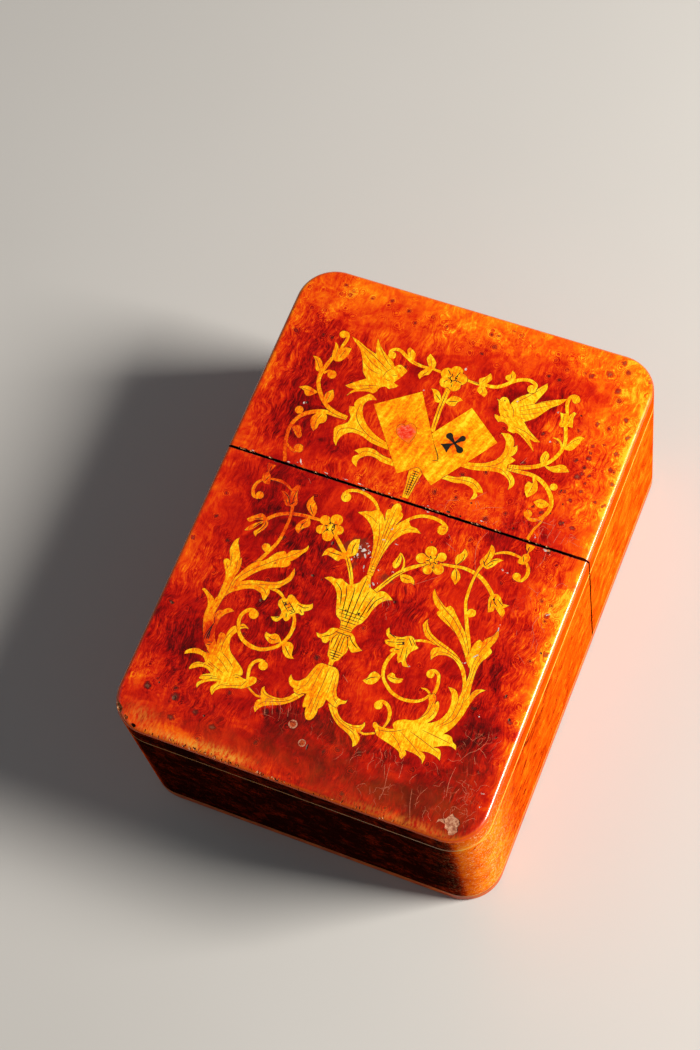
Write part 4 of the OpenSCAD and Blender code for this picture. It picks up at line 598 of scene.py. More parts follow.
base_ground = burr_top("base_burr", BASE_PATCHES, BASE_EYES, BASE_WHORLS, BASE_CRAZING, level=0.44,
                       brown_veil=BROWN_VEIL)
lid_ground = burr_top("lid_burr", LID_PATCHES, LID_EYES, LID_WHORLS, LID_CRAZING, level=0.48)
side_ground = burr_side("side_burr", level=0.52)
band_ground = burr_side("band_burr", level=0.56)
dress(base_ground, "base_panel")
dress(lid_ground, "lid_panel")
dress(side_ground, "base_skin", "lid_skin")
dress(band_ground, "base_edge_band", "lid_edge_band")
line_wood = side_line("line_wood")
dress(line_wood, "base_line", "lid_line", "base_foot_line", "lid_foot_line")
plate_wood = plain_wood("plate_wood", (168, 52, 6), (240, 112, 18), PLATE_GRAIN, roughness=0.3)
dress(plate_wood, "base_plate", "lid_plate")
carcass = plain_wood("carcass", (104, 62, 30), (158, 104, 56), BOARD_GRAIN, roughness=0.5)
dress(carcass, *[half + part for half in ("base", "lid")
                 for part in ("_top_board", "_wall_left", "_wall_right", "_wall_end")])
sleeve = plain_wood("sleeve", (132, 82, 40), (186, 130, 76), BOARD_GRAIN, roughness=0.45)
dress(sleeve, "sleeve_top", "sleeve_bottom", "sleeve_left", "sleeve_right")
marquetry = inlay_wood("marquetry", turn=0)
leaning = inlay_wood("marquetry_leaning", turn=40)
card_left = inlay_wood("heart_card_wood", turn=-14, level=0.62, grain_share=0.4, streaks=1.1)
card_right = inlay_wood("club_card_wood", turn=-20, grain_share=0.4, streaks=1.2)
dress(marquetry, *INLAYS["base"], *INLAYS["lid"])
dress(leaning, "garland_left", "garland_right", "bird_left", "bird_right")
dress(card_left, "heart_card")
dress(card_right, "club_card")
dress(faded_red("red_pip"), "heart_pip")
dress(stained("black_pip", 0.3, 0.4, (0.3, 14, 10, 8), (0.7, 44, 34, 22)), "club_pip")
dress(plug_end("plug_wood"), "round_plugs")


# Strokes, flakes and chips, in mm

# How deep each kind of mark lies below the top: its lower and its upper face
LAYERS = {"dirt": (0.08, 0.028), "ink": (0.07, 0.03), "hatching": (0.07, 0.026),
          "hairlines": (0.07, 0.005), "flakes": (0.07, 0.004)}
CURVE_STEPS = 5
FLAKE_CORNERS = 9

# Points of a mesh that lie nearer to each other than this, in mm, are one
WELD = 0.0005


def placed(name, data):
    """A new object of this data, put into the scene."""
    made = bpy.data.objects.new(name, data)
    bpy.context.scene.collection.objects.link(made)
    return made


def welded(mesh):
    """The mesh with its doubled points merged, open for work on it."""
    made = bmesh.new()
    made.from_mesh(mesh)
    bmesh.ops.remove_doubles(made, verts=made.verts, dist=WELD * MM)
    return made


def turned(x, y, u, v, angle):
    """The point at u, v from x, y once that offset is turned by the angle."""
    return (x + u * math.cos(angle) - v * math.sin(angle), y + u * math.sin(angle) + v * math.cos(angle))


def smooth(points):
    """A smooth path through the points."""
    if len(points) < 3:
        return list(points)
    path = []
    for i in range(len(points) - 1):
        a, b = points[max(i - 1, 0)], points[i]
        c, d = points[i + 1], points[min(i + 2, len(points) - 1)]
        for k in range(CURVE_STEPS):
            t = k / CURVE_STEPS
            path.append(tuple(0.5 * (2 * b[j] + (c[j] - a[j]) * t
                                     + (2 * a[j] - 5 * b[j] + 4 * c[j] - d[j]) * t * t
                                     + (3 * b[j] - a[j] - 3 * c[j] + d[j]) * t * t * t)
                              for j in (0, 1)))
    return path + [tuple(points[-1])]


class Strokes:
    """One mesh of many thin strokes and flakes that lie in one layer of the top."""

    def __init__(self, layer):
        self.mesh = bmesh.new()
        self.low, self.high = ((TOP - depth) * MM for depth in LAYERS[layer])

    def rings(self, x, y):
        """The lower and the upper point at one place of an outline."""
        return [self.mesh.verts.new((x * MM, y * MM, z)) for z in (self.low, self.high)]

    def line(self, points, width):
        """A stroke that thins towards its ends."""
        if len(points) == 2:
            (x, y), (end_x, end_y) = points
            points = [points[0], ((x + end_x) / 2, (y + end_y) / 2), points[1]]
        path = smooth(points)
        last = len(path) - 1
        sides = []
        for i, (x, y) in enumerate(path):
            ahead, behind = path[min(i + 1, last)], path[max(i - 1, 0)]
            dx, dy = ahead[0] - behind[0], ahead[1] - behind[1]
            size = math.hypot(dx, dy) or 1
            half = width / 2 * (0.3 + 0.7 * math.sin(math.pi * i / last) ** 0.6)
            dx, dy = dx / size * half, dy / size * half
            sides.append((self.rings(x - dy, y + dx), self.rings(x + dy, y - dx)))
        add = self.mesh.faces.new
        for (left, right), (next_left, next_right) in zip(sides, sides[1:]):
            add((left[1], right[1], next_right[1], next_left[1]))
            add((left[0], next_left[0], next_right[0], right[0]))
            add((left[0], left[1], next_left[1], next_left[0]))
            add((right[0], next_right[0], next_right[1], right[1]))
        left, right = sides[0]
        add((left[0], right[0], right[1], left[1]))
        left, right = sides[-1]
        add((left[0], left[1], right[1], right[0]))

    def flake(self, x, y, wide, long, turn, chance):
        """A flat flake of uneven outline."""
        edge = []
        for k in range(FLAKE_CORNERS):
            a = math.tau * k / FLAKE_CORNERS
            r = chance.uniform(0.62, 1.15)
            u, v = r * wide / 2 * math.cos(a), r * long / 2 * math.sin(a)
            edge.append(self.rings(*turned(x, y, u, v, turn)))
        self.mesh.faces.new([ring[1] for ring in edge])
        self.mesh.faces.new([ring[0] for ring in reversed(edge)])
        for ring, following in zip(edge, edge[1:] + edge[:1]):
            self.mesh.faces.new((ring[0], following[0], following[1], ring[1]))

    def piece(self, name, body, material, slot=None):
        """Makes one object of all the strokes, which rides on the body."""
        data = bpy.data.meshes.new(name)
        bmesh.ops.recalc_face_normals(self.mesh, faces=self.mesh.faces)
        self.mesh.to_mesh(data)
        self.mesh.free()
        data.materials.append(material)
        made = placed(name, data)
        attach(made, body)


# Penwork: the dark engraved lines on each piece of marquetry, and how wide they are

INK = 0.16
BASE_LINES = {
    "palmette": [
        [(-0.85, -7.6), (-0.9, -3), (-0.95, 1), (-1, 4.5), (-0.95, 6.6)],
        [(-0.3, -6), (-0.1, -2), (0.5, 1), (1.2, 2.9)], [(-0.5, -2), (-0.3, 2), (-0.1, 4.8)],
        [(1.4, 2.2), (2.6, 3.2), (4, 3.5)], [(-1.3, -6), (-1.6, -2), (-2.3, 1), (-3.2, 2.9)],
        [(-1.25, -2), (-1.5, 2), (-1.7, 4.8)], [(-3.2, 2.3), (-4.8, 3.2), (-6.4, 3.5)],
        [(-1.2, -6.2), (-0.2, -6.2)], [(-1.2, -6.8), (-0.2, -6.8)], [(-1.2, -7.4), (-0.25, -7.4)],
        [(8.7, 5.6), (9.3, 5.9), (9.5, 5.2)], [(-10.9, 5.9), (-11.4, 5.7), (-11.3, 5.1)],
    ],
    "tulip_cup": [
        [(-0.95, -8.6), (-1, -12), (-0.95, -16), (-1, -19.8)], [(0.4, -11.3), (0.1, -13.5), (-0.2, -18)],
        [(1.9, -11.6), (1.3, -13.8), (0.7, -17.6)], [(3.6, -11.2), (2.2, -12.9), (1.6, -15.6)],
        [(-2.4, -11.3), (-2.1, -13.5), (-1.8, -18)], [(-4, -11.6), (-3.3, -13.8), (-2.7, -17.6)],
        [(-6.3, -11.5), (-4.6, -12.9), (-3.7, -15.6)], [(-2.3, -19.3), (0.2, -19.3)],
        [(-2, -19.75), (0.2, -19.75)],
    ],
    "lower_cup": [
        [(-1, -20.4), (-1.05, -23), (-0.95, -26.3)], [(-2.6, -20.9), (0.6, -20.9)],
        [(-2.3, -24.6), (0.5, -24.6)], [(-2.1, -25.1), (0.3, -25.1)], [(-1.9, -25.6), (0.1, -25.6)],
        [(-1.4, -26.1), (-0.3, -26.1)], [(0.2, -20.6), (1.2, -21.8), (2.6, -22.7)],
        [(-0.2, -21), (0.5, -22.2), (0.8, -23.4)], [(-2.2, -20.6), (-3.2, -21.9), (-4.6, -22.7)],
        [(-1.8, -21), (-2.5, -22.2), (-2.5, -23.4)], [(-0.5, -21), (-0.4, -24.4)],
        [(-1.6, -21), (-1.7, -24.4)],
    ],
    "bell": [
        [(-0.9, -27.9), (-0.85, -31), (-0.9, -34.5), (-0.8, -38)], [(0.2, -28), (0.5, -30.5), (0.6, -33.2)],
        [(0.9, -28.8), (1.3, -30.8), (1.8, -32.8), (3.2, -33.7)], [(-2, -28), (-2.3, -30.5), (-2.4, -33.4)],
        [(-2.9, -28.6), (-3.4, -30.8), (-3.9, -32.8), (-5.4, -33.4)], [(-0.3, -34.5), (-0.2, -36.8)],
        [(-1.6, -34.5), (-1.6, -36.8)], [(2.2, -33.4), (3.2, -34.2)], [(-4.3, -33.4), (-5, -34.3)],
    ],
    "acanthus_right": [
        [(22.4, -16.6), (20.4, -13.8), (17.6, -11.1), (15, -9.6), (12.9, -7.9)],
        [(22.9, -18.2), (20.6, -15.3), (17.8, -12.7), (15.2, -11)],
        [(24.4, -25), (24.5, -21), (24.2, -18.2), (24.5, -15.8), (25.4, -13.2), (26.2, -11)],
        [(24.9, -25.5), (24.9, -21.5), (24.8, -18.4), (25.4, -15.6)],
        [(23.7, -20.3), (21.6, -18.3), (18.8, -17.3), (15.8, -16.3), (13.7, -14.9), (13.1, -13.4)],
        [(22, -19.1), (19.6, -18), (17.4, -18.1), (16.6, -19.2)],
        [(22.8, -31.8), (24.6, -29.8), (25.1, -27.4), (25, -24.8)],
        [(22, -32.2), (23.8, -29.8), (24.2, -27), (24, -24.6)],
        [(25.3, -26), (26, -23.9), (27.4, -22.7)], [(20, -33.5), (23, -33.8), (26, -34.2)],
        [(18, -34.5), (21, -35.4), (24.4, -36.6)], [(16, -35), (19, -36.6), (21.8, -38.4)],
        [(14.5, -36), (16.4, -37.1), (18, -38.9)], [(19.9, -31.4), (20.7, -30), (20.8, -28.4)],
        [(18.4, -31.9), (19.7, -30), (19.9, -27.6)], [(12.2, -36.2), (14.5, -35.8), (17, -34.4)],
        [(12.1, -35.7), (12.8, -36.6)], [(23.7, -23.4), (24, -24.8)],
    ],
    "acanthus_left": [
        [(-25.7, -25.1), (-25.7, -24.3), (-25.6, -23.5)], [(-26.7, -15.7), (-27.1, -14.1), (-27.5, -12.5)],
        [(-25.1, -17.4), (-25.2, -18.5), (-25.2, -19.8), (-25.4, -21)], [(-25.5, -15.3), (-25.9, -13.7)],
        [(-27.1, -15.9), (-27.7, -15)],
        [(-24.8, -19), (-24.5, -17.3), (-23.5, -15.7), (-22.1, -14.1), (-20.2, -12.4), (-18.4, -10.8),
         (-16.5, -9.4), (-14.9, -7.8)],
        [(-24.9, -19.7), (-23.3, -18.2), (-20.8, -17.1), (-18.2, -16.4), (-16.1, -15.4), (-15, -14)],
        [(-20.3, -17.2), (-18.8, -17.5), (-17.8, -18.5)], [(-25.1, -26.3), (-25.1, -25.2), (-24.4, -24.4)],
        [(-21.6, -31.9), (-21.8, -30.7), (-21.8, -29.4), (-21.4, -28), (-20.8, -26.8)],
        [(-22.4, -30.5), (-22.6, -29.3)], [(-14.6, -35.7), (-14.9, -36.2), (-15.3, -37.1)],
        [(-17.5, -35.7), (-16.9, -35.2), (-15.8, -35.3)], [(-17, -35.8), (-16.3, -35.6)],
        [(-25.7, -36.3), (-24.5, -35.5), (-22.9, -35.4), (-21.3, -35.9)], [(-23.1, -34.9), (-21.8, -35.3)],
        [(-23.3, -37.8), (-22.1, -37.2), (-20.4, -36.9)], [(-22.3, -38.3), (-20.9, -37.4), (-19.2, -37.1)],
        [(-19.8, -40.1), (-19.8, -39.3), (-19.1, -38.2), (-17.7, -37.3)], [(-23.1, -34.5), (-19.5, -35.8)],
        [(-22, -33.1), (-20.2, -34.1), (-18.5, -35.4)], [(-21.4, -32), (-19.6, -33), (-18.2, -34.1)],
        [(-18.6, -38.1), (-16.6, -37.4), (-15.1, -36.8)],
    ],
    "flower_spray_right": [
        [(9.4, -0.9), (8.9, -1.2), (9, -1.7), (9.5, -1.9), (9.9, -1.5), (9.7, -1)],
        [(9.9, -0.8), (10.1, 0.2)], [(8.8, -1), (7.7, -0.6)], [(9.2, -2.1), (8.4, -2.9)],
        [(10, -1.9), (10.5, -3.1)], [(10.1, -1.2), (11.6, -1.2)],
        [(23.2, -4.3), (23.5, -5.3), (24.4, -6)], [(22.9, -5.2), (23.2, -6.8)], [(23.9, -4.6), (25.4, -5.6)],
        [(14.2, -0.6), (14.9, 0.8), (14.8, 2.2)], [(14.2, -1.4), (14.9, -2.5), (15.2, -3.8)],
        [(5.3, -6.4), (6.9, -6.5)], [(3.3, -2.4), (3.2, -4.3)], [(2.1, -9.5), (3.6, -7), (5.2, -5.1)],
    ],
    "ring_scroll_right": [
        [(8.9, -18.6), (10.6, -18)], [(9, -19.1), (10.7, -18.4)], [(9.3, -19.5), (10.8, -18.9)],
        [(11, -17.4), (12.2, -18.8)], [(11.6, -17.3), (12.8, -18.5)], [(10.7, -19.4), (10.9, -21.8)],
        [(11.4, -19.2), (12, -22)], [(7.1, -17.7), (8.8, -18.3)], [(7.4, -19.5), (8.9, -19.1)],
        [(9.2, -20.4), (10.2, -20.2)], [(10.2, -25.8), (11.4, -25.9), (12.6, -25.6)],
        [(8.4, -26.6), (7.2, -27.2), (6.4, -28)], [(18.4, -26.6), (19.3, -26.2)],
    ],
    "flower_spray_left": [
        [(-12.2, -0.9), (-11.8, -0.5), (-11.2, -0.6), (-10.8, -1.1), (-10.8, -1.7), (-11.2, -2.1)],
        [(-12.5, -1.4), (-12, -2), (-11.4, -2.2)], [(-12.4, 0.3), (-12, -0.4)],
        [(-11.2, -0.5), (-10.4, -0.5)], [(-11, -2), (-10.4, -2.6)], [(-12.1, -1.9), (-12.5, -2.9)],
        [(-24.8, -3.8), (-25.4, -4.2), (-26.2, -4.5)], [(-24.6, -4.7), (-25.2, -5.5), (-25.8, -6.4)],
        [(-23.9, -4.3), (-23.8, -5.1), (-24.1, -6), (-24.7, -7.2)],
        [(-15.8, 0.1), (-16.5, 0.8), (-17.1, 1.7)], [(-16.4, -1.7), (-16.9, -2.6), (-17.1, -3.6)],
        [(-10, -6.2), (-8.6, -6.2), (-7.3, -6.1)], [(-5.6, -5.2), (-5.8, -3.9), (-5.6, -2.7)],
        [(-3.7, -10.1), (-4.9, -8), (-6.4, -5.9)],
    ],
    "ring_scroll_left": [
        [(-14.3, -18.9), (-13.5, -18.4)], [(-13.8, -19.4), (-12.9, -18.5)],
        [(-13.2, -19.7), (-12.3, -18.9)], [(-12.6, -20.1), (-11.8, -19.4)],
        [(-12.2, -20.6), (-11.3, -19.8)], [(-14.6, -18.4), (-13.7, -19.3), (-12.6, -20.2)],
        [(-13.2, -18.3), (-12.2, -19.1), (-11.3, -19.9)], [(-11.5, -18.2), (-10.1, -18.5), (-9.2, -18.1)],
        [(-13.9, -20.9), (-13.9, -21.8), (-14.6, -22.3)], [(-12.8, -20.6), (-12.5, -21.5)],
        [(-10.7, -19), (-10, -19.6)], [(-14.4, -26.1), (-13.3, -26.4), (-12.3, -26.2)],
        [(-10.5, -26.8), (-9.8, -27.5), (-8.9, -28.3)], [(-20.1, -26.1), (-19.2, -25.8)],
    ],
}

# The bold hatching at the foot of the left acanthus's stem, [path, width]
HATCH = [
    [[(-25.6, -25.3), (-25.4, -26.2), (-25.1, -27.1), (-25.2, -27.9)], 0.1],
    [[(-25.1, -27.1), (-25.4, -28.2), (-25.6, -29.1), (-25.7, -29.9), (-25.6, -30.7)], 0.16],
    [[(-25.2, -27.8), (-25.2, -28.8), (-25.3, -29.7), (-25.2, -30.5)], 0.3],
    [[(-25, -29.1), (-24.95, -29.8), (-24.9, -30.5)], 0.2], [[(-24.7, -31), (-23.9, -30.8)], 0.16],
    [[(-24.7, -31.5), (-24, -31.4)], 0.14], [[(-25.1, -32.4), (-24.4, -32.5), (-23.5, -33)], 0.12],
    [[(-25.3, -32.9), (-24.5, -33), (-23.9, -33.2)], 0.1],
]

# Lines of the right one of a pair, which the left one's are mirrored from
RIGHT_LINES = {
    "garland": [
        [(2.4, -34.9), (3.8, -36.6), (5.8, -37.6), (8, -38.3), (9.1, -39.6)],
        [(4.2, -36.5), (6.6, -37.3), (8.6, -37.1), (9.2, -36.6)], [(6.9, -37.5), (8.2, -37.9)],
    ],
    "bud_scroll": [
        [(18.9, 1.2), (19.2, 2.8), (19.1, 4.4)], [(19.4, 1.1), (20.3, 2.4), (21.4, 3)],
        [(18.6, 1.9), (19.4, 0.9)], [(25.9, 7.4), (25.9, 6.2)], [(25.5, 5.2), (25.9, 4.1)],
        [(19.9, 1), (20.6, 1.8)],
    ],
}

# Middle of the drawing on the base, and how far each motif on its left lies from the mirrored one
BASE_AXIS = -1
LEFT_SHIFTS = {"garland": (0.3, 0.1), "bud_scroll": (0.5, -0.5)}

LID_LINES = {
    "club_card": [[(1, 21.5), (2.2, 20), (2.8, 18.7), (1.8, 18.2)]],
    "staff": [[(-0.3, 14.9), (-0.28, 12), (-0.22, 9.5)], [(-0.35, 14.6), (-0.2, 12.4)],
              [(-1, 14.3), (-0.6, 9.6)], [(0.5, 14.3), (0.1, 9.6)]],
    "centre_flower": [
        [(-0.7, 36.8), (-1.2, 36.5), (-1.2, 35.9), (-0.7, 35.6), (-0.2, 36), (-0.3, 36.6)],
        [(-0.2, 36.9), (0.2, 38)], [(-1.4, 36.8), (-2.3, 37.7)], [(-1.4, 35.7), (-2.3, 34.8)],
        [(-0.5, 35.2), (-0.4, 34.2)], [(0.1, 36), (1.3, 35.7)],
    ],
    "flower_stem": [[(-1.4, 30.9), (-2.7, 31.9)], [(0.2, 31.1), (1.9, 31.8)],
                    [(-0.8, 33.6), (-0.78, 29), (-0.5, 25)]],
    "festoon_right": [[(4.9, 37.2), (5.7, 38.9)], [(5.3, 36.1), (6.1, 34.9)], [(10.1, 39.6), (9.9, 41)],
                      [(3.2, 36.7), (4.6, 36.7)], [(14.5, 39.3), (15, 39.1), (14.9, 38.7)]],
    "festoon_left": [[(-5.6, 37.3), (-6.6, 39.2)], [(-5.9, 36.2), (-6.8, 34.7)], [(-10.4, 37.8), (-11, 39.4)],
                     [(-8, 36.7), (-9.6, 37.1)]],
    "bird_right": [
        [(8.9, 34.9), (10, 34.6)], [(12.6, 35), (14.6, 37.2), (16.8, 40)],
        [(13.2, 34.2), (16.2, 36), (19.8, 38)], [(13.8, 33.6), (16.4, 35), (19.6, 36.9)],
        [(14.2, 33), (16.6, 33.9), (18.2, 34.9)], [(14.6, 32.3), (16, 32.5)],
        [(14, 30.3), (16.6, 29.9), (19.2, 28.9)], [(14.4, 29.8), (16.8, 28.8), (19, 27.2)],
        [(10.9, 33.4), (11.4, 32.9), (12, 33.1)], [(12, 32.2), (12.5, 31.8), (13, 32)],
        [(11.2, 31.9), (11.7, 31.5), (12.2, 31.6)], [(12.2, 34.3), (13, 33.4), (13.4, 32)],
    ],
    "bird_left": [
        [(-13, 34.6), (-15, 36), (-17.4, 38.6)], [(-13.6, 33.8), (-17, 35.6), (-21.6, 37.7)],
        [(-14.4, 33.2), (-17.4, 34.4), (-19.8, 36.2)], [(-14.9, 32.4), (-17, 32.8), (-18.6, 33.8)],
        [(-14.4, 29.9), (-16.6, 29.1), (-19.2, 28.1)], [(-15, 29.2), (-17.4, 27.9)],
        [(-11.4, 33.4), (-12, 33), (-12.6, 33.2)], [(-12.2, 32), (-12.8, 31.6), (-13.3, 31.9)],
        [(-12.9, 34.4), (-13.7, 33.4), (-14, 32)],
    ],
    "crown_spray_right": [
        [(22.6, 35.7), (22.9, 33.8)], [(24, 36.4), (23.8, 34)], [(25.2, 29.4), (26.4, 31.2), (27.4, 31.9)],
        [(22.2, 24.9), (22.2, 26.6)], [(23.4, 24.3), (25.2, 24.7), (27, 24.6)],
        [(16.6, 21.7), (16.6, 22.3)], [(17.1, 21.8), (17.1, 22.4)], [(17.6, 21.9), (17.6, 22.5)],
        [(18.4, 22.5), (20.4, 23.3)],
    ],
    "crown_spray_left": [
        [(-24.9, 35.4), (-24.6, 33.2)], [(-23.2, 35.4), (-23.8, 33.2)],
        [(-26.5, 29.6), (-27.6, 31), (-28.5, 31.8)], [(-25.6, 24.4), (-27, 24.6), (-28.6, 24.6)],
        [(-22.5, 23.4), (-22.4, 25.7)], [(-17.7, 21.4), (-17.7, 21.8)],
    ],
    "lower_scroll_right": [
        [(22.2, 20.4), (22, 18.9), (21.9, 17.6)], [(23.8, 16.5), (25.6, 16.7)],
        [(16.6, 21), (16.6, 21.5)], [(17.1, 21), (17.1, 21.5)], [(17.6, 21.1), (17.6, 21.6)],
    ],
    "lower_scroll_left": [[(-22.4, 20.6), (-22.9, 18.9), (-22.6, 17.2)], [(-26.5, 15.9), (-25.2, 15.2)]],
    "lid_leaf_right": [
        [(8.4, 19.4), (11.4, 20.1), (14.1, 21.6), (15.1, 23.6), (15, 26)],
        [(12.4, 20.5), (15.2, 20.8), (17.4, 19.4), (18.1, 18.2)],
        [(5.6, 15.7), (8.6, 16.2), (11, 16.3), (12.6, 15.3)],
    ],
    "lid_leaf_left": [
        [(-8.4, 18.4), (-11.4, 19), (-14.2, 20.6), (-15.8, 22.6), (-16, 25.2)],
        [(-12.6, 19.3), (-15.6, 19.6), (-17.7, 18.6), (-17.8, 16.8)],
        [(-5.8, 15.2), (-8.8, 15.9), (-11.2, 15.9), (-12.4, 14.6)],
    ],
}

# The five-petalled flowers, [x, y, angle of the first petal]
FLOWERS = {"flower_spray_right": [[9.4, -1.4, 90]], "flower_spray_left": [[-11.7, -1.3, 0]],
           "centre_flower": [[-0.7, 36.2, 84]]}

# Dark spots of the penwork, [x, y, size]
BASE_SPOTS = {"tulip_cup": [[0.3, -16.1, 0.5], [-2.3, -16.3, 0.4]], "flower_spray_right": [[23.3, -4.9, 0.5]],
              "flower_spray_left": [[-11.1, -1.2, 0.4], [-24.7, -5.3, 0.35], [-17, -2.6, 0.3]],
              "ring_scroll_right": [[10.4, -18.8, 0.45]], "acanthus_right": [[24.8, -16.4, 0.25]],
              "ring_scroll_left": [[-13.6, -18.9, 0.5], [-11.9, -19.9, 0.35]],
              "acanthus_left": [[-21.2, -37.4, 0.3], [-18.8, -11.8, 0.4]],
              "lower_cup": [[0.1, -21.3, 0.3]]}
LID_SPOTS = {"bird_right": [[10.6, 34.9, 0.34]], "bird_left": [[-11.5, 35, 0.34]],
             "centre_flower": [[-0.1, 36.4, 0.4], [-0.9, 35.7, 0.3]],
             "festoon_right": [[4.4, 36.7, 0.3]]}


def hatched_rows(low, high, step, middle, reach):
    """Level strokes across a stem from low to high, reach to each side of its middle."""
    rows = round((high - low) / step)
    return [[(middle - reach(i / rows), low + i * step), (middle + reach(i / rows), low + i * step)]
            for i in range(rows + 1)]


# The share of each half's joints that is dirty, and how wide the dirt is there
DIRTY_JOINTS = {"base": 0.45, "lid": 0.25}
DIRT_WIDTHS = (0.05, 0.11)


def joint_dirt(material):
    """Old dark polish that stands in parts of the joints about the marquetry."""
    chance = random.Random(17)
    for body, share in DIRTY_JOINTS.items():
        strokes = Strokes("dirt")
        for name in INLAYS[body]:
            for loop in top_outlines(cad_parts[name].data):
                start = 0
                while start < len(loop) - 2:
                    count = chance.randint(3, 9)
                    if chance.random() < share:
                        strokes.line(loop[start:start + count + 1], chance.uniform(*DIRT_WIDTHS))
                    start += count
        strokes.piece(body + "_joint_dirt", body, material)


def top_outlines(mesh):
    """The outlines of a flat piece's upper face, as lists of points in mm."""
    piece = welded(mesh)
    top = max(vertex.co.z for vertex in piece.verts)
    upper = {face for face in piece.faces
             if face.normal.z > 0.99 and face.verts[0].co.z > top - 0.01 * MM}
    following = {}
    for face in upper:
        for loop in face.loops:
            if sum(other in upper for other in loop.edge.link_faces) == 1:
                following[loop.vert.index] = (loop.link_loop_next.vert.index, loop.vert.co.copy())
    outlines = []
    while following:
        at = min(following)
        points = []
        while at in following:
            at, place = following.pop(at)
            points.append((place.x / MM, place.y / MM))
        outlines.append(points)
    piece.free()
    return outlines


# Motifs whose lines are faint veins, drawn in a thinned ink
FAINT = ("acanthus", "garland", "bell", "palmette", "lid_leaf", "bird", "festoon", "crown_spray",
         "lower_scroll")


def penwork(ink, thin_ink):
    """Draws the lines and spots of every motif: one piece for each, and one for the hatching."""
    chance = random.Random(11)
    cup = BASE_LINES["tulip_cup"] + hatched_rows(-18.4, -16.4, 0.66, -1, lambda t: 1.6 + 1.3 * t)
    stem = LID_LINES["staff"] + hatched_rows(10, 14.8, 0.5, -0.28, lambda t: 0.3 + 0.35 * t)
    drawn = [("base", name, lines, BASE_SPOTS.get(name, [])) for name, lines in BASE_LINES.items()
             if name != "tulip_cup"]
    drawn += [("base", "tulip_cup", cup, BASE_SPOTS["tulip_cup"])]
    for name, lines in RIGHT_LINES.items():
        spots = BASE_SPOTS.get(name, [])
        dx, dy = LEFT_SHIFTS[name]
        drawn.append(("base", name + "_right", lines, spots))
        drawn.append(("base", name + "_left",
                      [[(2 * BASE_AXIS - x + dx, y + dy) for x, y in line] for line in lines],
                      [[2 * BASE_AXIS - x + dx, y + dy, size] for x, y, size in spots]))
    drawn += [("lid", name, stem if name == "staff" else lines, LID_SPOTS.get(name, []))
              for name, lines in LID_LINES.items()]
    for body, name, lines, spots in drawn:
        strokes = Strokes("ink")
        faint = name.startswith(FAINT)
        weight = 0.7 if faint else 0.9
        for line in lines:
            strokes.line(line, INK * weight * chance.uniform(0.8, 1.25))
            if name.endswith("_cup") and len(line) > 2:
                strokes.line(line[-2:], INK * weight * chance.uniform(0.8, 1.4))
        for x, y, turn in FLOWERS.get(name, []):
            for joint in range(5):
                a = math.radians(turn + 36 + 72 * joint)
                strokes.line([(x + r * math.cos(a), y + r * math.sin(a)) for r in (0.45, 0.8, 1.1)],
                             INK * chance.uniform(0.9, 1.6))
        for x, y, size in spots:
            strokes.flake(x, y, size, size * 1.2, chance.uniform(0, 3), chance)
        strokes.piece("penwork_" + name, body, thin_ink if faint else ink, "black_pip")
    hatch = Strokes("hatching")
    for path, width in HATCH:
        hatch.line(path, width)
    hatch.piece("hatching", "base", ink, "black_pip")


# Hairline scratches and pale flakes in the lacquer

BASE_HAIRS = [
    [(31.7, -29.6), (31.9, -31.6), (30.9, -33.6), (29.6, -34.8), (28.4, -37)],
    [(31, -33.2), (32.2, -33.8), (33, -34.6)], [(30.8, -35), (31.5, -36.4)],
    [(16.8, -41.4), (17.1, -44), (17.5, -46.4), (17.4, -48.6)], [(15.9, -42), (16.8, -44.6)],
    [(19, -40.8), (19.3, -43.6)], [(28.3, -38), (28.2, -41), (28.7, -44)],
    [(18.1, -0.8), (16.9, 2), (16.4, 5), (17.4, 7.8)], [(13, 1.9), (11.8, 2.5), (10.6, 3)],
    [(10.4, 4.8), (11.6, 3.6)], [(7.8, -7.2), (9.6, -5.8), (12, -3.9)],
    [(34, -3.8), (32.5, -5.4), (32, -7.6), (33, -9.4), (33.3, -12)], [(28.6, 3.8), (29.3, 5.6), (29.2, 7.4)],
    [(33.2, -15), (31.3, -13.6)], [(3.6, -29.6), (2, -28.4)], [(4, -13.4), (3.6, -11.8), (4.6, -11.9)],
    [(-19.6, 6.9), (-18.6, 5.9)], [(-7, -37.4), (-6.2, -39.4), (-5.9, -41)],
    [(-8.3, -38), (-7.5, -40.2)], [(-5.1, -37.8), (-4.6, -39.6)], [(-9.4, -39), (-8.9, -40.6)],
    [(22.3, -44.6), (23, -47.4), (24, -50)], [(24.9, -43.4), (23.9, -45.6), (24.2, -48)],
]
LID_HAIRS = [
    [(23.8, 13.2), (27, 13), (29, 13.1)], [(18.4, 10.6), (17.6, 9.4)],
    [(13, 10.8), (15.4, 12.4), (18.5, 13.4)], [(29.8, 9.6), (30.3, 12.4)], [(31.2, 9.8), (31.6, 12)],
    [(28.4, 10), (28.9, 13.6)], [(26.8, 9.4), (27, 12)], [(12, 13), (14.2, 15.4)],
    [(19, 24.8), (18.2, 23)], [(9.8, 12.1), (7.4, 11.2)],
]

# Places where shorter hairlines crowd, [x, y, half width, half length, how many]
BASE_HAIR_AREAS = [[23, -45, 11, 5, 34], [31.5, -45, 3, 4, 20], [31, -34, 3, 4, 8], [-7, -40, 4, 3, 7],
                   [4, -14, 3, 3, 5], [31, -5, 4, 8, 8], [4, -42, 6, 5, 8]]
LID_HAIR_AREAS = [[28, 12, 5, 3, 12], [8, 11, 8, 2, 6]]

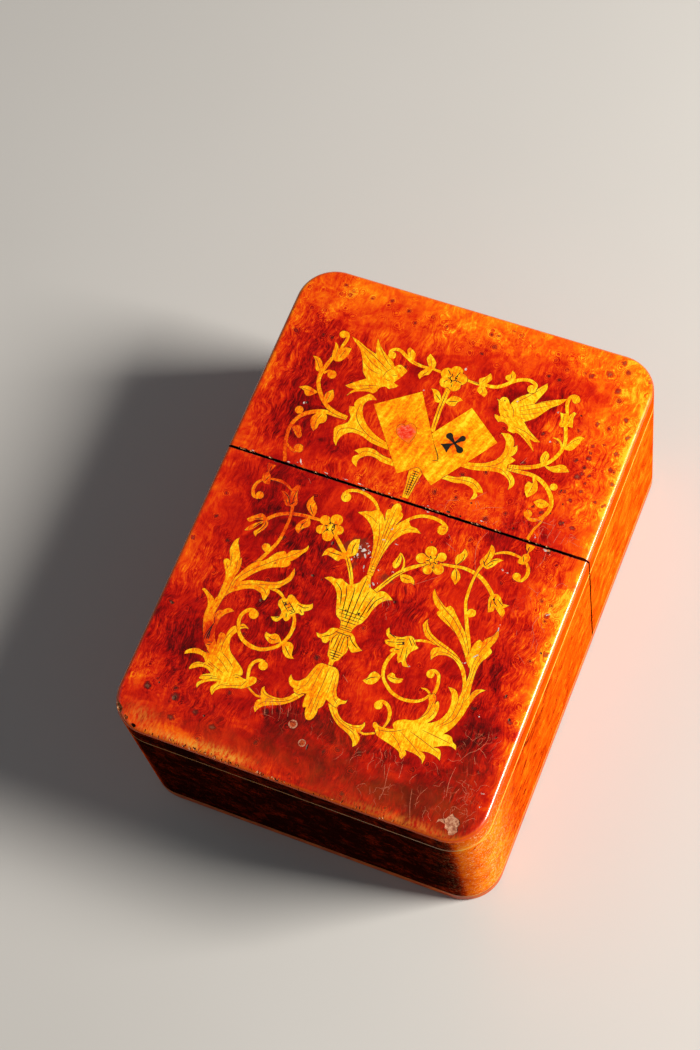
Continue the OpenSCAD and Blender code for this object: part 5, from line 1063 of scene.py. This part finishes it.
# Pale flakes, [x, y, width, length, turn in degrees]
BASE_FLAKES = [
    [-3.7, -3.7, 1.3, 0.7, 40], [-3, -4.7, 1.1, 0.5, 130], [-4.5, -5, 0.5, 1, 10],
    [-2.5, -3.8, 0.4, 0.9, -20], [-4.6, -3.2, 0.5, 0.4, 0], [-2.4, -6.9, 0.3, 0.8, 10],
    [-5.2, -6.2, 0.3, 0.4, 0], [-3.6, -2.2, 0.4, 0.25, 30],
    [-3.1, -2.6, 0.6, 0.22, 60], [0.6, -9.5, 0.9, 0.36, 140], [0.2, -10.2, 0.6, 0.25, 100],
    [0.5, -6.6, 0.5, 0.2, 150], [1.7, -0.5, 0.6, 0.2, 0], [-0.9, -0.4, 0.7, 0.2, 20],
    [3.3, -6, 0.45, 0.2, 0], [-0.2, 2.2, 0.5, 0.3, 60], [24.1, -16.6, 0.24, 1.7, -38],
    [22.7, -18.6, 0.6, 0.3, 40], [26.2, -10.2, 0.22, 1, 10], [28.9, -27.5, 0.35, 0.3, 0],
    [34.7, -41.1, 0.8, 0.2, 14], [35.1, -43.6, 0.3, 0.35, 0], [33.9, -4.4, 0.9, 0.25, 40],
    [28.9, 7.7, 0.9, 0.4, -20], [22.8, 1.2, 0.35, 0.4, 0], [23.8, 1, 0.4, 0.3, 0],
    [13.2, -22.7, 0.35, 0.3, 0], [-8.4, 8, 0.5, 0.2, 0], [5, 7.8, 0.4, 0.3, 0],
]
LID_FLAKES = [
    [-22.4, 9.7, 0.4, 1.1, 25], [-24.7, 8.8, 0.7, 0.2, 10], [-16.7, 9, 0.8, 0.2, -8],
    [-12.5, 9, 0.9, 0.2, 5], [-9.6, 9, 1, 0.2, 0], [-3.5, 9, 0.5, 0.2, 0], [-32.2, 8.8, 0.4, 0.2, 0],
    [22, 29.4, 0.5, 0.35, 20], [0.9, 38.9, 0.5, 0.7, 0], [-26.7, 21.7, 0.5, 0.6, 0],
    [-5.2, 31.9, 0.3, 0.3, 0], [21.3, 35.8, 0.4, 0.3, 0], [4.6, 9, 0.5, 0.25, 0], [15.4, 9.4, 0.6, 0.25, 0],
    [26.2, 9.6, 0.3, 0.4, 0], [13, 35.5, 0.35, 0.3, 0],
]


# How wide the placed and the crowding hairlines are, and how long one step of the latter is
HAIR_WIDTHS, FINE_HAIR_WIDTHS = (0.05, 0.08), (0.03, 0.055)
HAIR_STEP = 0.6


def surface_marks(body, hairs, areas, flakes, hair_material, flake_material, seed):
    """The hairlines of one half, placed and crowded, and its flakes with crumbs about each."""
    chance = random.Random(seed)
    scratches = Strokes("hairlines")
    for hair in hairs:
        scratches.line(hair, chance.uniform(*HAIR_WIDTHS))
    for x, y, wide, long, count in areas:
        for _ in range(count):
            at = [x + chance.uniform(-wide, wide), y + chance.uniform(-long, long)]
            heading = chance.gauss(math.pi / 2, 0.5)
            points = [tuple(at)]
            for _ in range(chance.randint(2, 5)):
                heading += chance.gauss(0, 0.55)
                at = [at[0] + HAIR_STEP * math.cos(heading), at[1] + HAIR_STEP * math.sin(heading)]
                points.append(tuple(at))
            scratches.line(points, chance.uniform(*FINE_HAIR_WIDTHS))
    scratches.piece(body + "_hairlines", body, hair_material)
    chips = Strokes("flakes")
    for x, y, wide, long, turn in flakes:
        chips.flake(x, y, wide, long, math.radians(turn), chance)
        for _ in range(2):
            chips.flake(x + chance.gauss(0, wide * 0.7), y + chance.gauss(0, long * 0.7), wide * 0.25,
                        long * 0.3, chance.uniform(0, 3), chance)
    chips.piece(body + "_flakes", body, flake_material)


# Chips, pits and the lost corner, cut out of the panels

def shade_by_angle(mesh, limit):
    """Shades each corner by the faces at it that turn less than limit degrees, large ones most."""
    around = [[] for _ in mesh.vertices]
    for face in mesh.polygons:
        for vertex in face.vertices:
            around[vertex].append((face.normal.copy(), face.area))
    normals = []
    for face in mesh.polygons:
        own = face.normal.copy()
        for vertex in face.vertices:
            total = own * 1e-12
            for normal, area in around[vertex]:
                if normal.dot(own) > math.cos(math.radians(limit)):
                    total += normal * area
            normals.append(total.normalized())
    mesh.shade_smooth()
    mesh.normals_split_custom_set(normals)


class Cutters:
    """One mesh of many rough lumps, each of one material, that are cut out of a panel."""

    def __init__(self, materials, seed):
        self.mesh = bmesh.new()
        self.materials = materials
        self.chance = random.Random(seed)

    def lump(self, x, y, wide, long, deep, turn=0.0, material=0, z=TOP):
        """A rough lump about this place, by default at the top."""
        made = bmesh.ops.create_icosphere(self.mesh, subdivisions=2, radius=1.0)
        for vertex in made["verts"]:
            rough = self.chance.uniform(0.78, 1.12)
            u, v = vertex.co.x * wide / 2 * rough, vertex.co.y * long / 2 * rough
            place_x, place_y = turned(x, y, u, v, turn)
            vertex.co = Vector((place_x * MM, place_y * MM, (z + vertex.co.z * deep * rough) * MM))
        for face in {face for vertex in made["verts"] for face in vertex.link_faces}:
            face.material_index = material

    def patch(self, outline, deep, material):
        """A shallow bed with this outline and an uneven floor."""
        middle = [sum(p[j] for p in outline) / len(outline) for j in (0, 1)]
        top = [self.mesh.verts.new((x * MM, y * MM, (TOP + 0.2) * MM)) for x, y in outline]
        floor_ring = [self.mesh.verts.new(((x * 0.88 + middle[0] * 0.12) * MM,
                                           (y * 0.88 + middle[1] * 0.12) * MM,
                                           (TOP - deep * self.chance.uniform(0.7, 1.2)) * MM))
                      for x, y in outline]
        centre = self.mesh.verts.new((middle[0] * MM, middle[1] * MM, (TOP - deep * 1.5) * MM))
        faces = [self.mesh.faces.new(top)]
        for i in range(len(outline)):
            k = (i + 1) % len(outline)
            faces.append(self.mesh.faces.new((top[i], floor_ring[i], floor_ring[k], top[k])))
            faces.append(self.mesh.faces.new((floor_ring[i], centre, floor_ring[k])))
        for face in faces:
            face.material_index = material

    def cut(self, name, node, body):
        """Replaces the node by a copy of it with the lumps cut out."""
        bmesh.ops.recalc_face_normals(self.mesh, faces=self.mesh.faces)
        data = bpy.data.meshes.new("cutters")
        self.mesh.to_mesh(data)
        self.mesh.free()
        for material in self.materials:
            data.materials.append(material)
        lumps = placed("cutters", data)
        sunk = welded(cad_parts[node].data)
        bmesh.ops.translate(sunk, verts=sunk.verts, vec=(0, 0, -PANEL_SINK * MM))
        panel = bpy.data.meshes.new(name)
        sunk.to_mesh(panel)
        sunk.free()
        panel.materials.append(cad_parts[node].data.materials[0])
        made = placed(name, panel)
        wear = made.modifiers.new("wear", "BOOLEAN")
        wear.operation = "DIFFERENCE"
        wear.solver = "EXACT"
        wear.use_self = True
        wear.material_mode = "TRANSFER"
        wear.object = lumps
        graph = bpy.context.evaluated_depsgraph_get()
        worn = bpy.data.meshes.new_from_object(made.evaluated_get(graph), depsgraph=graph)
        made.modifiers.clear()
        made.data = worn
        bpy.data.objects.remove(lumps)
        worn.materials.append(band_ground)
        for face in worn.polygons:
            if face.material_index == 0 and abs(face.normal.z) < STEEP:
                face.material_index = len(worn.materials) - 1
        shade_by_angle(worn, SHARP_ANGLE)
        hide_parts(node)
        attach(made, body)


# How far the worn panels lie lower than the solid ones, which faces of them are steep enough for the
# side's burr, and from which angle on an edge stays sharp
PANEL_SINK = 0.02
STEEP = 0.42
SHARP_ANGLE = 30

# The cutters' materials by their place, and how many chips the seam and the near edge have
BROKEN, DIRT, FILLER = 0, 1, 2
LID_SEAM_CHIPS, BASE_SEAM_CHIPS, NEAR_CHIPS = 46, 26, 100

# Pits, [x, y, width, length], and how deep they are
PIT_DEEP = 0.22
BASE_PITS = [
    [-9.9, -4.3, 0.7, 0.9], [-11, -11.8, 0.8, 0.6], [-9, -12, 0.4, 0.4], [-18.4, -19.8, 0.7, 0.8],
    [-34.5, -25.9, 0.7, 0.6], [-26.3, -43.5, 0.9, 1], [-30.2, -41.6, 0.4, 0.5], [32.2, -22, 0.5, 0.6],
    [34.3, -26.2, 0.6, 0.7], [33.2, -30.2, 0.4, 0.7], [35.3, -12, 0.5, 0.5], [1.1, -43.8, 0.5, 1.3],
    [5.8, -11.6, 0.5, 0.6], [8, 2.2, 0.3, 0.5], [-19.5, -44.8, 0.5, 0.5], [11.8, 1.6, 0.3, 0.3],
]
LID_PITS = [
    [-26.2, 22, 0.8, 0.7], [25.8, 36.6, 0.5, 0.4], [27.6, 20.4, 0.4, 0.5], [28.8, 17.8, 0.3, 0.4],
    [27.2, 15.2, 0.4, 0.4], [30.2, 14.2, 0.4, 0.5], [8.7, 9.1, 1, 0.5], [11.2, 9, 0.5, 0.4],
    [-1.1, 9, 0.4, 0.3], [12.2, 12.3, 0.5, 0.4], [21.6, 10, 0.5, 0.4],
]

# Outline of the filler in the right near corner, and how deep its bed is
FILLER_OUTLINE = [
    (31, -46.2), (31.7, -46.7), (32.6, -46.9), (33.1, -47.7), (32.8, -48.5), (33.2, -49.3),
    (32.6, -50.3), (31.7, -50.6), (31.3, -49.8), (30.5, -49.5), (30.3, -48.7), (29.1, -48.5),
    (28.5, -49.1), (28.7, -48.2), (30.1, -47.6), (30.4, -46.9),
]
FILLER_DEEP = 0.12

# The veneer lost at the left near corner, (x, y, width, length, turn, material)
LOST_CORNER = [(-35.4, -48.6, 2.4, 1.3, -0.9, BROKEN), (-33.4, -50, 1.2, 0.8, -0.6, BROKEN),
               (-31.4, -51, 1.3, 0.7, -0.3, DIRT)]


def wear_panels(broken, dirt, filler):
    """Cuts the pits, the ragged seam, the chipped near edge, the lost corner and the filler's bed."""
    base = Cutters([broken, dirt, filler], 5)
    lid = Cutters([broken, dirt, filler], 6)
    for cutters, pits in ((base, BASE_PITS), (lid, LID_PITS)):
        for x, y, wide, long in pits:
            cutters.lump(x, y, wide, long, PIT_DEEP, material=DIRT)
    chance = random.Random(9)
    for _ in range(LID_SEAM_CHIPS):
        x = chance.uniform(-SIDE + 2, SIDE - 2)
        pale = BROKEN if chance.random() < 0.4 else DIRT
        size = chance.uniform(0.25, 0.6)
        lid.lump(x, SEAM + 0.2, size * chance.uniform(1, 2.2), size, 0.3, material=pale)
    for _ in range(BASE_SEAM_CHIPS):
        x = chance.uniform(-SIDE + 2, SIDE - 2)
        size = chance.uniform(0.2, 0.45)
        base.lump(x, SEAM - 0.2, size * chance.uniform(1, 2), size, 0.25, material=DIRT)
    for _ in range(NEAR_CHIPS):
        x = chance.triangular(-31, 31, -20)
        base.lump(x, NEAR_END + chance.uniform(0.3, 0.9), chance.uniform(0.12, 0.4),
                  chance.uniform(0.4, 1.1), chance.uniform(0.1, 0.3), chance.gauss(0, 0.5),
                  BROKEN if chance.random() < 0.75 else DIRT, TOP - chance.uniform(0.1, 0.4))
    for x, y, wide, long, turn, kind in LOST_CORNER:
        base.lump(x, y, wide, long, 0.6, turn, kind, TOP - 0.3)
    base.lump(29.6, 7.9, 1.1, 0.5, 0.3, 0.2, BROKEN)
    base.patch(FILLER_OUTLINE, FILLER_DEEP, FILLER)
    base.cut("base_panel_worn", "base_panel", "base")
    lid.cut("lid_panel_worn", "lid_panel", "lid")


ink = stained("ink", 0.4, 0.3, (0.4, 20, 4, 2), (0.7, 70, 22, 2))
joint_tone = stained("joint_tone", 0.5, 0.2, (0.4, 40, 6, 2), (0.6, 120, 52, 24))
thin_ink = stained("thin_ink", 0.4, 0.3, (0.3, 112, 40, 2), (0.7, 190, 92, 4))
hair_tone = stained("hair_tone", 0.5, 0.0, (0.3, 176, 62, 34), (0.7, 226, 140, 104))
# Pale flakes where the lacquer is lost; their near-white tones also paint the glint of the bare glue
flake_glint_tone = stained("flake_glint_tone", 0.4, 0.2, (0.35, 150, 112, 96), (0.5, 206, 190, 180),
                     (0.7, 238, 232, 228))
broken_wood = stained("broken_wood", 0.6, 0.0, (0.35, 120, 44, 14), (0.5, 206, 122, 60),
                      (0.7, 236, 196, 150))
dirt = stained("dirt", 0.6, 0.0, (0.3, 36, 8, 4), (0.7, 124, 56, 26))
filler = stained("filler", 0.5, 0.1, (0.35, 124, 60, 36), (0.5, 176, 112, 80),
                 (0.68, 214, 168, 132))
penwork(ink, thin_ink)
joint_dirt(joint_tone)
surface_marks("base", BASE_HAIRS, BASE_HAIR_AREAS, BASE_FLAKES, hair_tone, flake_glint_tone, 21)
surface_marks("lid", LID_HAIRS, LID_HAIR_AREAS, LID_FLAKES, hair_tone, flake_glint_tone, 22)
wear_panels(broken_wood, dirt, filler)


# Floor, lights and camera

def floor():
    """A pale plain floor under the box."""
    mesh = bpy.data.meshes.new("floor")
    reach = 1.6
    mesh.from_pydata([(-reach, -reach, 0), (reach, -reach, 0), (reach, reach, 0), (-reach, reach, 0)],
                     [], [(0, 1, 2, 3)])
    made = placed("floor", mesh)
    shader = Shader("floor")
    cloud = shader.noise(shader.point, 0.01, 3.0)
    shader.set(Base_Color=shader.mix(cloud, (198, 196, 192), (206, 204, 201)), Roughness=0.7)
    mesh.materials.append(shader.material)


def soft_light(name, towards, distance, size, power, colour):
    """A square soft light that lies that way from the box and shines on it."""
    data = bpy.data.lights.new(name, "AREA")
    data.size = size
    data.energy = power
    data.color = colour
    made = placed(name, data)
    direction = Vector(towards).normalized()
    made.location = direction * distance
    made.rotation_euler = direction.to_track_quat("Z", "Y").to_euler()


def faint_sky(colour, strength):
    """The light that comes from all round."""
    world = bpy.data.worlds.new("studio")
    world.use_nodes = True
    sky = world.node_tree.nodes["Background"].inputs
    sky["Color"].default_value = colour
    sky["Strength"].default_value = strength
    bpy.context.scene.world = world


def camera():
    """The photo's camera: its direction, roll and distance, and where the box lies in the frame."""
    azimuth, elevation, roll = (math.radians(angle) for angle in (36.374, 65.487, -15.667))
    distance, aside, above = (length * MM for length in (456.6, -9.76, 11.12))
    focal_px, photo_long = 2288.8, 1050
    back = Vector((math.sin(azimuth) * math.cos(elevation), -math.cos(azimuth) * math.cos(elevation),
                   math.sin(elevation)))
    right = Vector((math.cos(azimuth), math.sin(azimuth), 0))
    up = back.cross(right)
    across = math.cos(roll) * right + math.sin(roll) * up
    upward = -math.sin(roll) * right + math.cos(roll) * up
    data = bpy.data.cameras.new("camera")
    data.sensor_width = 36
    data.lens = focal_px * data.sensor_width / photo_long
    data.clip_start, data.clip_end = 0.01, 20
    made = placed("camera", data)
    made.rotation_mode = "QUATERNION"
    made.rotation_quaternion = Matrix((across, upward, back)).transposed().to_quaternion()
    made.location = Vector((0, 0, TOP * MM / 2)) + aside * across + above * upward + distance * back
    bpy.context.scene.camera = made


floor()
soft_light("key", towards=(0.92, 0.27, 0.78), distance=0.8, size=0.26, power=10.4,
           colour=(1.0, 0.95, 0.88))
soft_light("fill", towards=(-0.9, -0.25, 0.8), distance=1.4, size=1.2, power=1.5,
           colour=(0.95, 0.97, 1.0))
faint_sky(colour=(0.92, 0.95, 1.0, 1.0), strength=0.09)
bpy.context.scene.view_settings.view_transform = "Standard"
camera()
